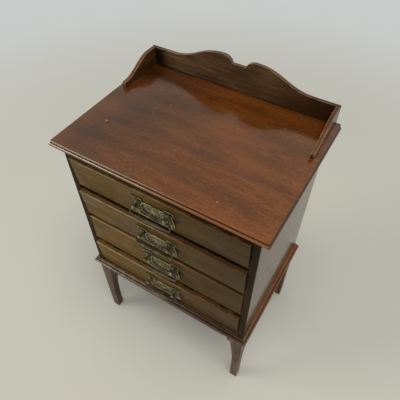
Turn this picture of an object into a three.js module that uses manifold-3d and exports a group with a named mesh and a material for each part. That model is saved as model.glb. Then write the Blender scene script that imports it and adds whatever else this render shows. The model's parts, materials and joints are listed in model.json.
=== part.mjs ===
// Sheet music cabinet: a moulded top with a shaped gallery, a carcase holding four shallow drawers
// whose fronts fall forward on pivot pins, and a low stand of four tapered legs.
// Millimetres. The cabinet faces -Y, +Z is up and the floor is z = 0.
import * as THREE from "three";
import { mergeVertices } from "three/addons/utils/BufferGeometryUtils.js";
import Module from "manifold-3d";

const wasm = await Module();
wasm.setup();

// Clearances that all pieces share
const seat = 0.3; // glue line or resting gap between two fixed pieces
const overrun = 2; // how far a cut or a fused piece runs past a face

// Carcase
const carcaseWidth = 500;
const carcaseDepth = 365;
const sideThick = 16.5;
const baseBoardThick = 18;
const backPanelThick = 8;
const backRebate = 8; // width of the rebate that holds the back panel
const topRailHeight = 13.4;
const topRailDepth = 45;

// Stand
const legHeight = 289.7;
const legTop = 37;
const legWaist = 24; // width where the straight foot turns into the flare
const legWaistShare = 0.45; // height of that place, as a share of the height below the block
const legFoot = 22.5;
const standReach = 3; // how far the stand passes the carcase at the front and sides
const apronHeight = 32;
const apronThick = 14;
const apronSetback = 2; // from the face of a leg to the face of an apron
const bracketReach = 30; // how far the stepped bracket runs from the leg
const bracketDrop = 13;
const bracketStepShare = 0.4;

// Base moulding
const baseMouldingHeight = 18;
const baseMouldingReach = 14.3;
const baseFillet = 1;
const baseFilletReach = 3;
const ovoloReach = 4;
const ovoloRise = 3.2;
const baseNoseRadius = 3.6;

// Top board and its moulded edge
const topThick = 24;
const topSideOverhang = 18.3; // from the carcase to the upper arris
const topFrontOverhang = 15.2;
const topBackOverhang = 11;
const topCornerRadius = 3.5;
const noseReach = 3.6; // how far the nose stands past the upper arris
const noseRadius = 4.2;
const noseDepth = 10.5; // from the top surface down to the middle of the nose
const hollowDepth = 2; // how far the hollow above the nose is cut in
const hollowRise = 2.2; // half the height of that hollow
const topEasing = 1; // rounding of the upper arris
const bedInset = 12; // how far the underside stands back from the arris

// Gallery
const galleryThick = 9;
const galleryEndHeight = 48;
const galleryHumpHeight = 87.6;
const galleryNotchHeight = 70;
const gallerySideInset = 12.3; // from the top's upper arris to the outer face of a return
const galleryFlat = 62; // level length at each end of the back board
const notchHalfWidth = 19;
const humpCrown = 45; // from the middle to the crown of a hump
const returnThick = 9.5;
const returnLength = 136;
const returnNoseHeight = 15;
const returnNoseRadius = 5;
const returnLevel = 26; // level length where a return meets the back board
const gallerySweepShare = 0.45;
const returnSweepShare = 0.36;

// Drawers
const drawerCount = 4;
const runGap = 3.3; // between one drawer and the next
const sideRun = 2; // between a drawer and the side of the carcase
const trayBottomThick = 8;
const trayFrontInset = 8;
const trayBackClear = 12;
const trayWall = 9;
const trayWallDrop = 10; // from the height of a fall front to the height of the tray walls
const trayCornerRadius = 12;
const flapHeight = 98;
const flapThick = 16;
const flapFloorGap = 0.7; // between a fall front and the tray bottom under it
const flapBackGap = 1;
const beadRadius = 1.8;
const beadProud = 0.8;
const quirkWidth = 1;
const quirkDepth = 1;
const grooveInset = 4.5; // from the back of a fall front to the groove in its top edge
const grooveWidth = 1.5;
const grooveDepth = 1.5;
const runnerWidth = 12;
const runnerHeight = 10;
const runnerFrontGap = 4;

// How far each front leans out in the photographed pose, from the lowest drawer up, as shares
const flapLean = THREE.MathUtils.degToRad(5);
const leanShares = [1, 0, 1, 1];

// Pivot plates
const pivotInset = 4; // from the face and the foot of a fall front to its pivot line
const footEasing = 1.5; // rounding of the inner edge of the foot
const pinRadius = 1.4;
const pinClear = 0.3;
const pinReach = 9; // how far a pin enters the fall front
const pivotPlateThick = 1.2;
const pivotPlateHeight = 7.4;
const pivotPlateTail = 36; // how far the plate runs back along the tray side

// Handles
const handlePivotHeight = 61; // above the bottom edge of the fall front
const plateHalfWidth = 57;
const plateRise = 16.5; // from the pivot line to the top of the ears
const plateDrop = 45; // from the pivot line to the lowest points
const plateThick = 1.8;
const reliefThick = 1.2;
const reliefShare = 0.62;
const plateFootShare = 0.78; // depth of the bottom edge at the middle, as a share of the drop
const plateScallopShares = [0.5, 0.79]; // bend and lowest point of each side of the bottom edge, across
const plateSideShares = [
  [0.88, -0.98],
  [0.95, -0.78],
  [0.94, -0.52],
  [0.9, -0.28],
  [0.88, -0.07],
  [0.94, 0.4],
];
const plateEarShare = 0.86;
const plateEarInnerShare = 0.5;
const plateBrowShare = 0.5;
const plateBrowInShare = 0.42;
const plateCrestShare = 0.6;
const bossWidth = 34;
const bossHeight = 20;
const bossDepth = 3;
const bossDropShare = 0.24; // how far the boss lies below the pivot line, as a share of the drop
const postSpacing = 81;
const postRadius = 3.2;
const postHeadRadius = 5.2;
const roseRadius = 6.5;
const postReach = 17.5; // from the face of the front to the pivot line
const bailHalfWidth = 53;
const bailDrop = 29.5;
const bailSag = 1.5;
const bailShoulder = 1.5; // straight length of the bail outside a post head
const bailSideShares = [
  [0.93, 0.12],
  [0.97, 0.42],
  [1, 0.76],
  [0.92, 0.97],
];
const bailSagShares = [0.5, 0.45]; // a point of the sagging grip, by its half width and its sag
const bailEndRadius = 1.5;
const bailPinReach = 3; // how far a bail pin passes the middle of its post
const bailPinClear = 0.4;
const bailArmRadius = 2.3;
const bailGripHeight = 4.8; // half the height of the grip at its middle
const bailGripDepth = 3.2; // half its thickness, front to back
const armStartShare = 0.05; // how far along the bail, between its pins, its arm and grip reach their size
const gripStartShare = 0.16;
const gripFullShare = 0.41;

// Smoothness of curved faces
const roundSides = 16;
const fineSides = 10;
const arcSteps = 5;
const easingSteps = 2;
const fineSteps = 4;
const curveSteps = 12;
const gallerySteps = 14;
const bailSteps = 34;

// Levels and places worked out from the sizes above
const floorTop = legHeight + seat + baseBoardThick;
const trayRise = trayBottomThick + flapFloorGap;
const trayWallHeight = flapHeight - trayWallDrop;
const drawerPitch = trayRise + flapHeight + runGap;
const sideHeight = runGap + drawerCount * drawerPitch + topRailHeight - seat;
const topUnderside = floorTop + sideHeight + 2 * seat;
const topSurface = topUnderside + topThick;
const halfWidth = carcaseWidth / 2;
const innerHalf = halfWidth - sideThick;
const trayHalf = innerHalf - sideRun;
const trayBack = carcaseDepth - backPanelThick - trayBackClear;
const topBackEdge = carcaseDepth + topBackOverhang;
const galleryHalfWidth = halfWidth + topSideOverhang - gallerySideInset;
const galleryFront = topBackEdge - galleryThick;

const wood = { color: 0x5a3a24, roughness: 0.42, metalness: 0 };
const topWood = { color: 0x6b3a22, roughness: 0.25, metalness: 0 };
const frontWood = { color: 0x5e4a2c, roughness: 0.4, metalness: 0 };
const innerWood = { color: 0x8a6844, roughness: 0.75, metalness: 0 };
const agedBrass = { color: 0x7a6f48, roughness: 0.42, metalness: 0.85 };
const pinBrass = { color: 0x94803f, roughness: 0.4, metalness: 0.9 };

// A named piece with a material of its own
function piece(name, geometry, finish) {
  const mesh = new THREE.Mesh(geometry, new THREE.MeshStandardMaterial({ ...finish, name }));
  mesh.name = name;
  return mesh;
}

// A rectangular board between two corners
function board(x0, x1, y0, y1, z0, z1) {
  const geometry = new THREE.BoxGeometry(x1 - x0, y1 - y0, z1 - z0);
  geometry.translate((x0 + x1) / 2, (y0 + y1) / 2, (z0 + z1) / 2);
  return geometry;
}

// A copy that holds positions alone
function bareCopy(geometry) {
  const bare = geometry.clone();
  bare.deleteAttribute("normal");
  bare.deleteAttribute("uv");
  return bare;
}

// Solids for cutting and joining
function toSolid(geometry) {
  const merged = mergeVertices(bareCopy(geometry));
  const triVerts = new Uint32Array(merged.index.array);
  const vertProperties = new Float32Array(merged.attributes.position.array);
  return new wasm.Manifold(new wasm.Mesh({ numProp: 3, vertProperties, triVerts }));
}

function fromSolid(solid) {
  const mesh = solid.getMesh();
  const geometry = new THREE.BufferGeometry();
  geometry.setAttribute("position", new THREE.BufferAttribute(new Float32Array(mesh.vertProperties), 3));
  geometry.setIndex([...mesh.triVerts]);
  return geometry;
}

function join(...geometries) {
  return fromSolid(geometries.map(toSolid).reduce((whole, part) => whole.add(part)));
}

function cut(geometry, ...tools) {
  return fromSolid(tools.map(toSolid).reduce((whole, tool) => whole.subtract(tool), toSolid(geometry)));
}

// An outline of (y, z) points drawn out along x
function alongX(shape, x0, x1, steps = curveSteps) {
  const options = { depth: x1 - x0, bevelEnabled: false, curveSegments: steps };
  const geometry = new THREE.ExtrudeGeometry(shape, options);
  const turn = new THREE.Matrix4().makeBasis(
    new THREE.Vector3(0, 1, 0),
    new THREE.Vector3(0, 0, 1),
    new THREE.Vector3(1, 0, 0),
  );
  geometry.applyMatrix4(turn);
  geometry.translate(x0, 0, 0);
  return geometry;
}

// An outline of (x, z) points drawn out along y, from y0 back to y1
function alongY(shape, y0, y1, steps = curveSteps) {
  const options = { depth: y1 - y0, bevelEnabled: false, curveSegments: steps };
  const geometry = new THREE.ExtrudeGeometry(shape, options);
  const turn = new THREE.Matrix4().makeBasis(
    new THREE.Vector3(1, 0, 0),
    new THREE.Vector3(0, 0, 1),
    new THREE.Vector3(0, -1, 0),
  );
  geometry.applyMatrix4(turn);
  geometry.translate(0, y1, 0);
  return geometry;
}

// A round bar along x or y
function barX(radius, x0, x1, sides) {
  const geometry = new THREE.CylinderGeometry(radius, radius, x1 - x0, sides);
  geometry.rotateZ(-Math.PI / 2);
  geometry.translate((x0 + x1) / 2, 0, 0);
  return geometry;
}

function barY(radius, y0, y1, sides) {
  const geometry = new THREE.CylinderGeometry(radius, radius, y1 - y0, sides);
  geometry.translate(0, (y0 + y1) / 2, 0);
  return geometry;
}

// A closed skin over rings with equal numbers of points, each ring anticlockwise about the way they climb
function skinRings(rings) {
  const count = rings[0].length;
  const positions = rings.flat().flatMap((point) => [point.x, point.y, point.z]);
  const index = [];
  for (let level = 0; level + 1 < rings.length; level += 1) {
    for (let i = 0; i < count; i += 1) {
      const a = level * count + i;
      const b = level * count + ((i + 1) % count);
      index.push(a, b, b + count);
      index.push(a, b + count, a + count);
    }
  }
  const last = (rings.length - 1) * count;
  for (let i = 1; i + 1 < count; i += 1) {
    index.push(0, i + 1, i);
    index.push(last, last + i, last + i + 1);
  }
  const geometry = new THREE.BufferGeometry();
  geometry.setAttribute("position", new THREE.BufferAttribute(new Float32Array(positions), 3));
  geometry.setIndex(index);
  return geometry;
}

// A level ring with rounded corners
function roundedRing(x0, x1, y0, y1, radius, z) {
  const corners = [
    [x1 - radius, y1 - radius, 0],
    [x0 + radius, y1 - radius, 1],
    [x0 + radius, y0 + radius, 2],
    [x1 - radius, y0 + radius, 3],
  ];
  return corners.flatMap(([cx, cy, quarter]) =>
    Array.from({ length: arcSteps + 1 }, (_, i) => {
      const angle = (quarter + i / arcSteps) * (Math.PI / 2);
      return new THREE.Vector3(cx + radius * Math.cos(angle), cy + radius * Math.sin(angle), z);
    }),
  );
}

// Points (out, up) on an arc about a middle, angles as shares of a half turn
function arc(out, up, radiusOut, radiusUp, fromShare, toShare, steps = arcSteps) {
  return Array.from({ length: steps + 1 }, (_, i) => {
    const angle = (fromShare + ((toShare - fromShare) * i) / steps) * Math.PI;
    return [out + radiusOut * Math.cos(angle), up + radiusUp * Math.sin(angle)];
  });
}

// Turns the faces of a closed mesh outwards where they all look in
function facingOut(geometry) {
  const position = geometry.attributes.position;
  const index = geometry.index.array;
  const corner = (i) => new THREE.Vector3().fromBufferAttribute(position, index[i]);
  let volume = 0;
  for (let i = 0; i < index.length; i += 3) {
    volume += corner(i).dot(corner(i + 1).cross(corner(i + 2)));
  }
  if (volume < 0) {
    for (let i = 0; i < index.length; i += 3) {
      [index[i + 1], index[i + 2]] = [index[i + 2], index[i + 1]];
    }
  }
  return geometry;
}

// A copy on the other side of the plane x = 0, or of y = 0
function mirrored(geometry, alongDepth = false) {
  const copy = mergeVertices(bareCopy(geometry));
  copy.scale(alongDepth ? 1 : -1, alongDepth ? -1 : 1, 1);
  return facingOut(copy);
}

// A mesh drawn between two placed copies of an outline, for strips with mitred ends
function skinOutline(outline, placeStart, placeEnd) {
  const count = outline.length;
  const flat = outline.map(([out, up]) => new THREE.Vector2(out, up));
  if (THREE.ShapeUtils.isClockWise(flat)) {
    return skinOutline([...outline].reverse(), placeStart, placeEnd);
  }
  const points = [...outline.map(placeStart), ...outline.map(placeEnd)];
  const index = [];
  for (let i = 0; i < count; i += 1) {
    const next = (i + 1) % count;
    index.push(i, next, next + count);
    index.push(i, next + count, i + count);
  }
  for (const [a, b, c] of THREE.ShapeUtils.triangulateShape(flat, [])) {
    index.push(a, c, b);
    index.push(a + count, b + count, c + count);
  }
  const geometry = new THREE.BufferGeometry();
  const positions = new Float32Array(points.flatMap((point) => [point.x, point.y, point.z]));
  geometry.setAttribute("position", new THREE.BufferAttribute(positions, 3));
  geometry.setIndex(index);
  return facingOut(geometry);
}

// Half of an outline, from the middle line round to the middle line, completed by its mirror image
function wholeShape(halfPath, steps) {
  const half = halfPath.getPoints(steps);
  const other = half.slice(1, -1).reverse().map((point) => new THREE.Vector2(-point.x, point.y));
  return new THREE.Shape([...half, ...other]);
}

// Top board: bed cove, rolled nose, hollow and eased arris, run round the front and both ends
function topBoard() {
  const noseMiddle = noseReach - noseRadius;
  const coveRise = topThick - noseDepth - noseRadius;
  const hollowTop = noseDepth - noseRadius - 2 * hollowRise;
  const profile = [
    ...arc(noseMiddle, -topThick, bedInset + noseMiddle, coveRise, 1, 0.5),
    ...arc(noseMiddle, -noseDepth, noseRadius, noseRadius, -0.5, 0.5).slice(1),
    ...arc(noseMiddle, -hollowTop - hollowRise, hollowDepth, hollowRise, -0.5, -1.5).slice(1),
    ...arc(-topEasing, -topEasing, topEasing, topEasing, 0, 0.5, easingSteps),
  ];
  const rings = profile.map(([out, up]) => {
    const reach = halfWidth + topSideOverhang + out;
    const front = -topFrontOverhang - out;
    return roundedRing(-reach, reach, front, topBackEdge, topCornerRadius, topSurface + up);
  });
  return skinRings(rings);
}

// Back of the gallery: two humps either side of a notch, falling to level ends
function galleryBack() {
  const flatStart = galleryHalfWidth - galleryFlat;
  const sweep = flatStart - humpCrown;
  const half = new THREE.Path();
  half.moveTo(0, 0);
  half.lineTo(galleryHalfWidth, 0);
  half.lineTo(galleryHalfWidth, galleryEndHeight);
  half.lineTo(flatStart, galleryEndHeight);
  half.bezierCurveTo(
    flatStart - sweep * gallerySweepShare,
    galleryEndHeight,
    humpCrown + sweep * gallerySweepShare,
    galleryHumpHeight,
    humpCrown,
    galleryHumpHeight,
  );
  const shoulderRun = humpCrown - notchHalfWidth;
  const shoulderRise = galleryHumpHeight - galleryNotchHeight;
  half.absellipse(humpCrown, galleryNotchHeight, shoulderRun, shoulderRise, Math.PI / 2, Math.PI, false, 0);
  half.lineTo(0, galleryNotchHeight);
  const geometry = alongY(wholeShape(half, gallerySteps), galleryFront, topBackEdge);
  geometry.translate(0, 0, topSurface + seat);
  return geometry;
}

// A side return of the gallery, on the right: a low rounded nose sweeping up to the back board
function galleryReturn() {
  const back = galleryFront - seat;
  const front = back - returnLength;
  const sweepEnd = back - returnLevel;
  const sweepStart = front + 2 * returnNoseRadius;
  const sweep = sweepEnd - sweepStart;
  const shape = new THREE.Shape();
  shape.moveTo(front, 0);
  shape.lineTo(back, 0);
  shape.lineTo(back, galleryEndHeight);
  shape.lineTo(sweepEnd, galleryEndHeight);
  shape.bezierCurveTo(
    sweepEnd - sweep * returnSweepShare,
    galleryEndHeight,
    sweepStart + sweep * returnSweepShare,
    returnNoseHeight,
    sweepStart,
    returnNoseHeight,
  );
  shape.lineTo(front + returnNoseRadius, returnNoseHeight);
  const noseMiddle = returnNoseHeight - returnNoseRadius;
  shape.absarc(front + returnNoseRadius, noseMiddle, returnNoseRadius, Math.PI / 2, Math.PI, false);
  const geometry = alongX(shape, galleryHalfWidth - returnThick, galleryHalfWidth);
  geometry.translate(0, 0, topSurface + seat);
  return geometry;
}

// The right side of the carcase, rebated for the back, with its drawer runners
function sidePanel() {
  const rebateFront = carcaseDepth - backPanelThick - seat;
  const rebateSide = innerHalf + backRebate;
  const shape = new THREE.Shape();
  shape.moveTo(innerHalf, 0);
  shape.lineTo(halfWidth, 0);
  shape.lineTo(halfWidth, carcaseDepth);
  shape.lineTo(rebateSide, carcaseDepth);
  shape.lineTo(rebateSide, rebateFront);
  shape.lineTo(innerHalf, rebateFront);
  const panel = new THREE.ExtrudeGeometry(shape, { depth: sideHeight, bevelEnabled: false });
  panel.translate(0, 0, floorTop + seat);
  const runners = Array.from({ length: drawerCount }, (_, i) => {
    const top = floorTop + runGap + i * drawerPitch - seat;
    const bottom = i === 0 ? floorTop + 2 * seat : top - runnerHeight;
    const front = flapThick + runnerFrontGap;
    return board(innerHalf - runnerWidth, innerHalf + overrun, front, rebateFront, bottom, top);
  });
  return join(panel, ...runners);
}

// A square leg at the right front: a block whose two inner faces sweep in to a waist, then a straight foot
function leg() {
  const outer = halfWidth + standReach;
  const ring = (width, z) => [
    new THREE.Vector3(outer, width - standReach, z),
    new THREE.Vector3(outer - width, width - standReach, z),
    new THREE.Vector3(outer - width, -standReach, z),
    new THREE.Vector3(outer, -standReach, z),
  ];
  const blockBottom = legHeight - apronHeight - bracketDrop;
  const flare = Array.from({ length: fineSteps + 1 }, (_, i) => {
    const along = i / fineSteps;
    const width = THREE.MathUtils.lerp(legTop, legWaist, Math.cos((along * Math.PI) / 2));
    return ring(width, blockBottom * THREE.MathUtils.lerp(legWaistShare, 1, along));
  });
  return skinRings([ring(legFoot, 0), ...flare, ring(legTop, legHeight)]);
}

// An apron's outline between two legs, hung from its top edge, with a stepped bracket at each end
function apronShape(length) {
  const end = length / 2;
  const step = bracketReach * bracketStepShare;
  const ledge = bracketDrop * bracketStepShare;
  const half = new THREE.Path();
  half.moveTo(0, -apronHeight);
  half.lineTo(end - bracketReach, -apronHeight);
  half.lineTo(end - bracketReach, -apronHeight - ledge);
  half.absellipse(
    end - step,
    -apronHeight - ledge,
    bracketReach - step,
    bracketDrop - ledge,
    Math.PI,
    Math.PI / 2,
    true,
    0,
  );
  half.lineTo(end - step, -apronHeight - bracketDrop);
  half.lineTo(end, -apronHeight - bracketDrop);
  half.lineTo(end, 0);
  half.lineTo(0, 0);
  return wholeShape(half, fineSteps);
}

// Base moulding in section, outwards and up from the top outer corner of the base board
function baseMouldingProfile() {
  const noseMiddle = baseMouldingReach - baseNoseRadius;
  const noseTop = -baseFillet - ovoloRise;
  const noseFoot = noseTop - 2 * baseNoseRadius;
  const coveReach = noseMiddle - baseFillet - baseFilletReach;
  const coveRise = baseMouldingHeight + noseFoot - ovoloRise;
  return [
    [seat, 0],
    [baseFilletReach, 0],
    [baseFilletReach, -baseFillet],
    ...arc(baseFilletReach, noseTop, ovoloReach, ovoloRise, 0.5, 0, fineSteps).slice(1),
    ...arc(noseMiddle, noseTop - baseNoseRadius, baseNoseRadius, baseNoseRadius, 0.5, -0.5),
    [noseMiddle - baseFillet, noseFoot],
    ...arc(noseMiddle - baseFillet, noseFoot - coveRise, coveReach, coveRise, 0.5, 1, fineSteps).slice(1),
    [baseFilletReach, -baseMouldingHeight],
    [seat, -baseMouldingHeight],
  ];
}

function baseMouldingFront() {
  const place = (side) => ([out, up]) => new THREE.Vector3(side * (halfWidth + out), -out, floorTop + up);
  return skinOutline(baseMouldingProfile(), place(1), place(-1));
}

function baseMouldingSide() {
  const start = ([out, up]) => new THREE.Vector3(halfWidth + out, seat - out, floorTop + up);
  const end = ([out, up]) => new THREE.Vector3(halfWidth + out, carcaseDepth, floorTop + up);
  return skinOutline(baseMouldingProfile(), end, start);
}

// The right side of a drawer tray
function traySide() {
  const front = flapThick + flapBackGap;
  const shape = new THREE.Shape();
  shape.moveTo(front, 0);
  shape.lineTo(trayBack, 0);
  shape.lineTo(trayBack, trayWallHeight);
  shape.lineTo(front + trayCornerRadius, trayWallHeight);
  shape.absarc(
    front + trayCornerRadius,
    trayWallHeight - trayCornerRadius,
    trayCornerRadius,
    Math.PI / 2,
    Math.PI,
    false,
  );
  const geometry = alongX(shape, trayHalf - trayWall, trayHalf, fineSteps);
  geometry.translate(0, 0, trayBottomThick + seat);
  return geometry;
}

// A fall front about its pivot line: rounded foot, plain face, and a bead with a quirk along the top
function fallFront() {
  const top = flapHeight - pivotInset;
  const inner = flapThick - pivotInset;
  const beadMiddle = -pivotInset - beadProud + beadRadius;
  const quirkFoot = top - quirkDepth;
  const beadStart = Math.asin((beadRadius - quirkDepth) / beadRadius);
  const beadEnd = 2 * Math.PI - Math.acos((beadProud - beadRadius) / beadRadius);
  const quirkFront = beadMiddle + beadRadius * Math.cos(beadStart);
  const shape = new THREE.Shape();
  shape.moveTo(-pivotInset, 0);
  shape.absarc(0, 0, pivotInset, Math.PI, (3 * Math.PI) / 2, false);
  shape.absarc(inner - footEasing, footEasing - pivotInset, footEasing, -Math.PI / 2, 0, false);
  shape.absarc(inner - beadRadius, top - beadRadius, beadRadius, 0, Math.PI / 2, false);
  shape.lineTo(inner - grooveInset, top);
  shape.lineTo(inner - grooveInset, top - grooveDepth);
  shape.lineTo(inner - grooveInset - grooveWidth, top - grooveDepth);
  shape.lineTo(inner - grooveInset - grooveWidth, top);
  shape.lineTo(quirkFront + quirkWidth, top);
  shape.lineTo(quirkFront + quirkWidth, quirkFoot);
  shape.lineTo(quirkFront, quirkFoot);
  shape.absarc(beadMiddle, top - beadRadius, beadRadius, beadStart, beadEnd, false);
  const front = alongX(shape, -trayHalf, trayHalf, fineSteps);
  const boreStart = trayHalf - pinReach - pinClear;
  const bore = barX(pinRadius + pinClear, boreStart, trayHalf + overrun, roundSides);
  return cut(front, bore, mirrored(bore));
}

// The right pivot plate about its pin: a rounded strap on the tray side, with a pin into the fall front
function pivotPlate() {
  const inner = trayHalf + seat;
  const half = pivotPlateHeight / 2;
  const shape = new THREE.Shape();
  shape.absarc(0, 0, half, Math.PI / 2, (3 * Math.PI) / 2, false);
  shape.absarc(pivotPlateTail - half, 0, half, -Math.PI / 2, Math.PI / 2, false);
  const strap = alongX(shape, inner, inner + pivotPlateThick, fineSteps);
  const pin = barX(pinRadius, trayHalf - pinReach, inner + pivotPlateThick / 2, roundSides);
  return join(strap, pin);
}

// The outline of a handle's backplate about the bail's pivot line: flat-topped ears over scrolled sides
function backplateShape(scale) {
  const width = plateHalfWidth * scale;
  const rise = plateRise * scale;
  const drop = plateDrop * scale;
  const half = new THREE.Path();
  const [bend, foot] = plateScallopShares;
  half.moveTo(0, -drop * plateFootShare);
  half.quadraticCurveTo(width * bend, -drop * plateFootShare, width * foot, -drop);
  half.splineThru(
    plateSideShares.map(([out, up]) => new THREE.Vector2(width * out, up > 0 ? rise * up : drop * up)),
  );
  half.lineTo(width, rise * plateEarShare);
  half.lineTo(width, rise);
  half.lineTo(width * plateEarInnerShare, rise);
  const browIn = width * plateBrowInShare;
  const browUp = rise * plateBrowShare;
  half.quadraticCurveTo(width * plateEarInnerShare, browUp, browIn, browUp);
  half.quadraticCurveTo(browIn / 2, browUp, 0, rise * plateCrestShare);
  return wholeShape(half, fineSteps);
}

// A handle's backplate with its raised middle, boss, roses and bored posts
function handlePlate() {
  const back = -seat;
  const face = back - plateThick;
  const relief = face - reliefThick;
  const plate = alongY(backplateShape(1), face, back);
  const panel = alongY(backplateShape(reliefShare), relief, face + plateThick / 2);
  panel.translate(0, 0, ((1 - reliefShare) * (plateRise - plateDrop)) / 2);
  const boss = new THREE.SphereGeometry(1, roundSides, fineSides);
  boss.scale(bossWidth / 2, bossDepth, bossHeight / 2);
  boss.translate(0, relief, -plateDrop * bossDropShare);
  const parts = [plate, panel, boss];
  const bores = [];
  for (const side of [-1, 1]) {
    const middle = (side * postSpacing) / 2;
    const rose = barY(roseRadius, relief, face + plateThick / 2, roundSides);
    const post = barY(postRadius, -postReach, face + plateThick / 2, fineSides);
    const head = new THREE.SphereGeometry(postHeadRadius, roundSides, fineSides);
    head.translate(0, -postReach, 0);
    const boreReach = postHeadRadius + overrun;
    const bore = barX(bailEndRadius + bailPinClear, -boreReach, boreReach, fineSides);
    bore.translate(0, -postReach, 0);
    for (const part of [rose, post, head, bore]) {
      part.translate(middle, 0, 0);
    }
    parts.push(rose, post, head);
    bores.push(bore);
  }
  return cut(join(...parts), ...bores);
}

// The bail about its pivot line: turned-in pins, splayed arms and a grip that swells and sags a little
function bail() {
  const [sagOut, sagDown] = bailSagShares;
  const headEdge = postSpacing / 2 + postHeadRadius;
  const half = [
    [headEdge, 0],
    [headEdge + bailShoulder, 0],
    ...bailSideShares.map(([out, down]) => [bailHalfWidth * out, -bailDrop * down]),
    [bailHalfWidth * sagOut, -bailDrop - bailSag * sagDown],
  ].map(([x, z]) => new THREE.Vector3(x, 0, z));
  const middle = new THREE.Vector3(0, 0, -bailDrop - bailSag);
  const other = half.map((point) => new THREE.Vector3(-point.x, 0, point.z)).reverse();
  const line = new THREE.CatmullRomCurve3([...half, middle, ...other], false, "centripetal");
  const across = new THREE.Vector3(0, 1, 0);
  const rings = Array.from({ length: bailSteps + 1 }, (_, i) => {
    const along = i / bailSteps;
    const point = line.getPointAt(along);
    const upward = new THREE.Vector3().crossVectors(across, line.getTangentAt(along)).normalize();
    const fromEnd = Math.min(along, 1 - along);
    const arm = THREE.MathUtils.smoothstep(fromEnd, 0, armStartShare);
    const grip = THREE.MathUtils.smoothstep(fromEnd, gripStartShare, gripFullShare);
    const armRadius = THREE.MathUtils.lerp(bailEndRadius, bailArmRadius, arm);
    const high = THREE.MathUtils.lerp(armRadius, bailGripHeight, grip);
    const deep = THREE.MathUtils.lerp(armRadius, bailGripDepth, grip);
    return Array.from({ length: fineSides }, (_unused, side) => {
      const angle = (side / fineSides) * 2 * Math.PI;
      return point
        .clone()
        .addScaledVector(upward, high * Math.cos(angle))
        .addScaledVector(across, deep * Math.sin(angle));
    });
  });
  const pinLength = postHeadRadius + bailPinReach;
  const pinEnd = (ring, step) => ring.map((point) => point.clone().setX(point.x + step));
  return skinRings([pinEnd(rings[0], -pinLength), ...rings, pinEnd(rings[bailSteps], pinLength)]);
}

// One drawer on its tray, with its fall front leaning as photographed and its bail hanging plumb
function drawer(number, lean) {
  const tray = new THREE.Group();
  const wallBottom = trayBottomThick + seat;
  const wallTop = wallBottom + trayWallHeight;
  const backHalf = trayHalf - trayWall - seat;
  const bottom = board(-trayHalf, trayHalf, trayFrontInset, trayBack, 0, trayBottomThick);
  const back = board(-backHalf, backHalf, trayBack - trayWall, trayBack, wallBottom, wallTop);
  const side = traySide();
  const strap = pivotPlate();
  tray.add(piece(`drawer_${number}_bottom`, bottom, innerWood));
  tray.add(piece(`drawer_${number}_back`, back, innerWood));
  tray.add(piece(`drawer_${number}_side_right`, side, innerWood));
  tray.add(piece(`drawer_${number}_side_left`, mirrored(side), innerWood));

  const pivot = new THREE.Group();
  pivot.position.set(0, pivotInset, trayRise + pivotInset);
  pivot.add(piece(`drawer_${number}_pivot_right`, strap, pinBrass));
  pivot.add(piece(`drawer_${number}_pivot_left`, mirrored(strap), pinBrass));

  const flap = new THREE.Group();
  flap.rotation.x = lean;
  flap.add(piece(`drawer_${number}_fall_front`, fallFront(), frontWood));
  const handle = new THREE.Group();
  handle.position.set(0, -pivotInset, handlePivotHeight - pivotInset);
  handle.add(piece(`drawer_${number}_handle_plate`, handlePlate(), agedBrass));
  const hung = piece(`drawer_${number}_bail`, bail(), agedBrass);
  hung.position.y = -postReach;
  hung.rotation.x = -lean;
  handle.add(hung);
  flap.add(handle);
  pivot.add(flap);
  tray.add(pivot);
  return tray;
}

// The carcase on its base board
function carcase() {
  const group = new THREE.Group();
  const railBottom = topUnderside - seat - topRailHeight;
  const railHalf = innerHalf - seat;
  const rail = board(-railHalf, railHalf, 0, topRailDepth, railBottom, topUnderside - seat);
  const backHalf = innerHalf + backRebate - seat;
  const backBottom = floorTop + seat;
  const backFront = carcaseDepth - backPanelThick;
  const back = board(-backHalf, backHalf, backFront, carcaseDepth, backBottom, backBottom + sideHeight);
  const base = board(-halfWidth, halfWidth, 0, carcaseDepth, legHeight + seat, floorTop);
  const side = sidePanel();
  const sideStrip = baseMouldingSide();
  group.add(piece("top_board", topBoard(), topWood));
  group.add(piece("side_panel_right", side, wood));
  group.add(piece("side_panel_left", mirrored(side), wood));
  group.add(piece("back_panel", back, innerWood));
  group.add(piece("top_rail", rail, wood));
  group.add(piece("base_board", base, wood));
  group.add(piece("base_moulding_front", baseMouldingFront(), wood));
  group.add(piece("base_moulding_right", sideStrip, wood));
  group.add(piece("base_moulding_left", mirrored(sideStrip), wood));
  return group;
}

// The gallery standing on the top
function gallery() {
  const group = new THREE.Group();
  const side = galleryReturn();
  group.add(piece("gallery_back", galleryBack(), topWood));
  group.add(piece("gallery_return_right", side, topWood));
  group.add(piece("gallery_return_left", mirrored(side), topWood));
  return group;
}

// The four legs and the aprons between them
function stand() {
  const group = new THREE.Group();
  const right = leg();
  const rightBack = mirrored(right, true);
  rightBack.translate(0, carcaseDepth - standReach, 0);
  group.add(piece("leg_front_right", right, wood));
  group.add(piece("leg_front_left", mirrored(right), wood));
  group.add(piece("leg_back_right", rightBack, wood));
  group.add(piece("leg_back_left", mirrored(rightBack), wood));

  const wide = apronShape(carcaseWidth + 2 * (standReach - legTop - seat));
  const deep = apronShape(carcaseDepth + standReach - 2 * (legTop + seat));
  const frontFace = apronSetback - standReach;
  const backFace = carcaseDepth - apronSetback;
  const sideFace = halfWidth + standReach - apronSetback;
  const front = alongY(wide, frontFace, frontFace + apronThick);
  const back = alongY(wide, backFace - apronThick, backFace);
  const side = alongX(deep, sideFace - apronThick, sideFace);
  side.translate(0, (carcaseDepth - standReach) / 2, 0);
  for (const apron of [front, back, side]) {
    apron.translate(0, 0, legHeight);
  }
  group.add(piece("apron_front", front, wood));
  group.add(piece("apron_back", back, wood));
  group.add(piece("apron_right", side, wood));
  group.add(piece("apron_left", mirrored(side), wood));
  return group;
}

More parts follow.
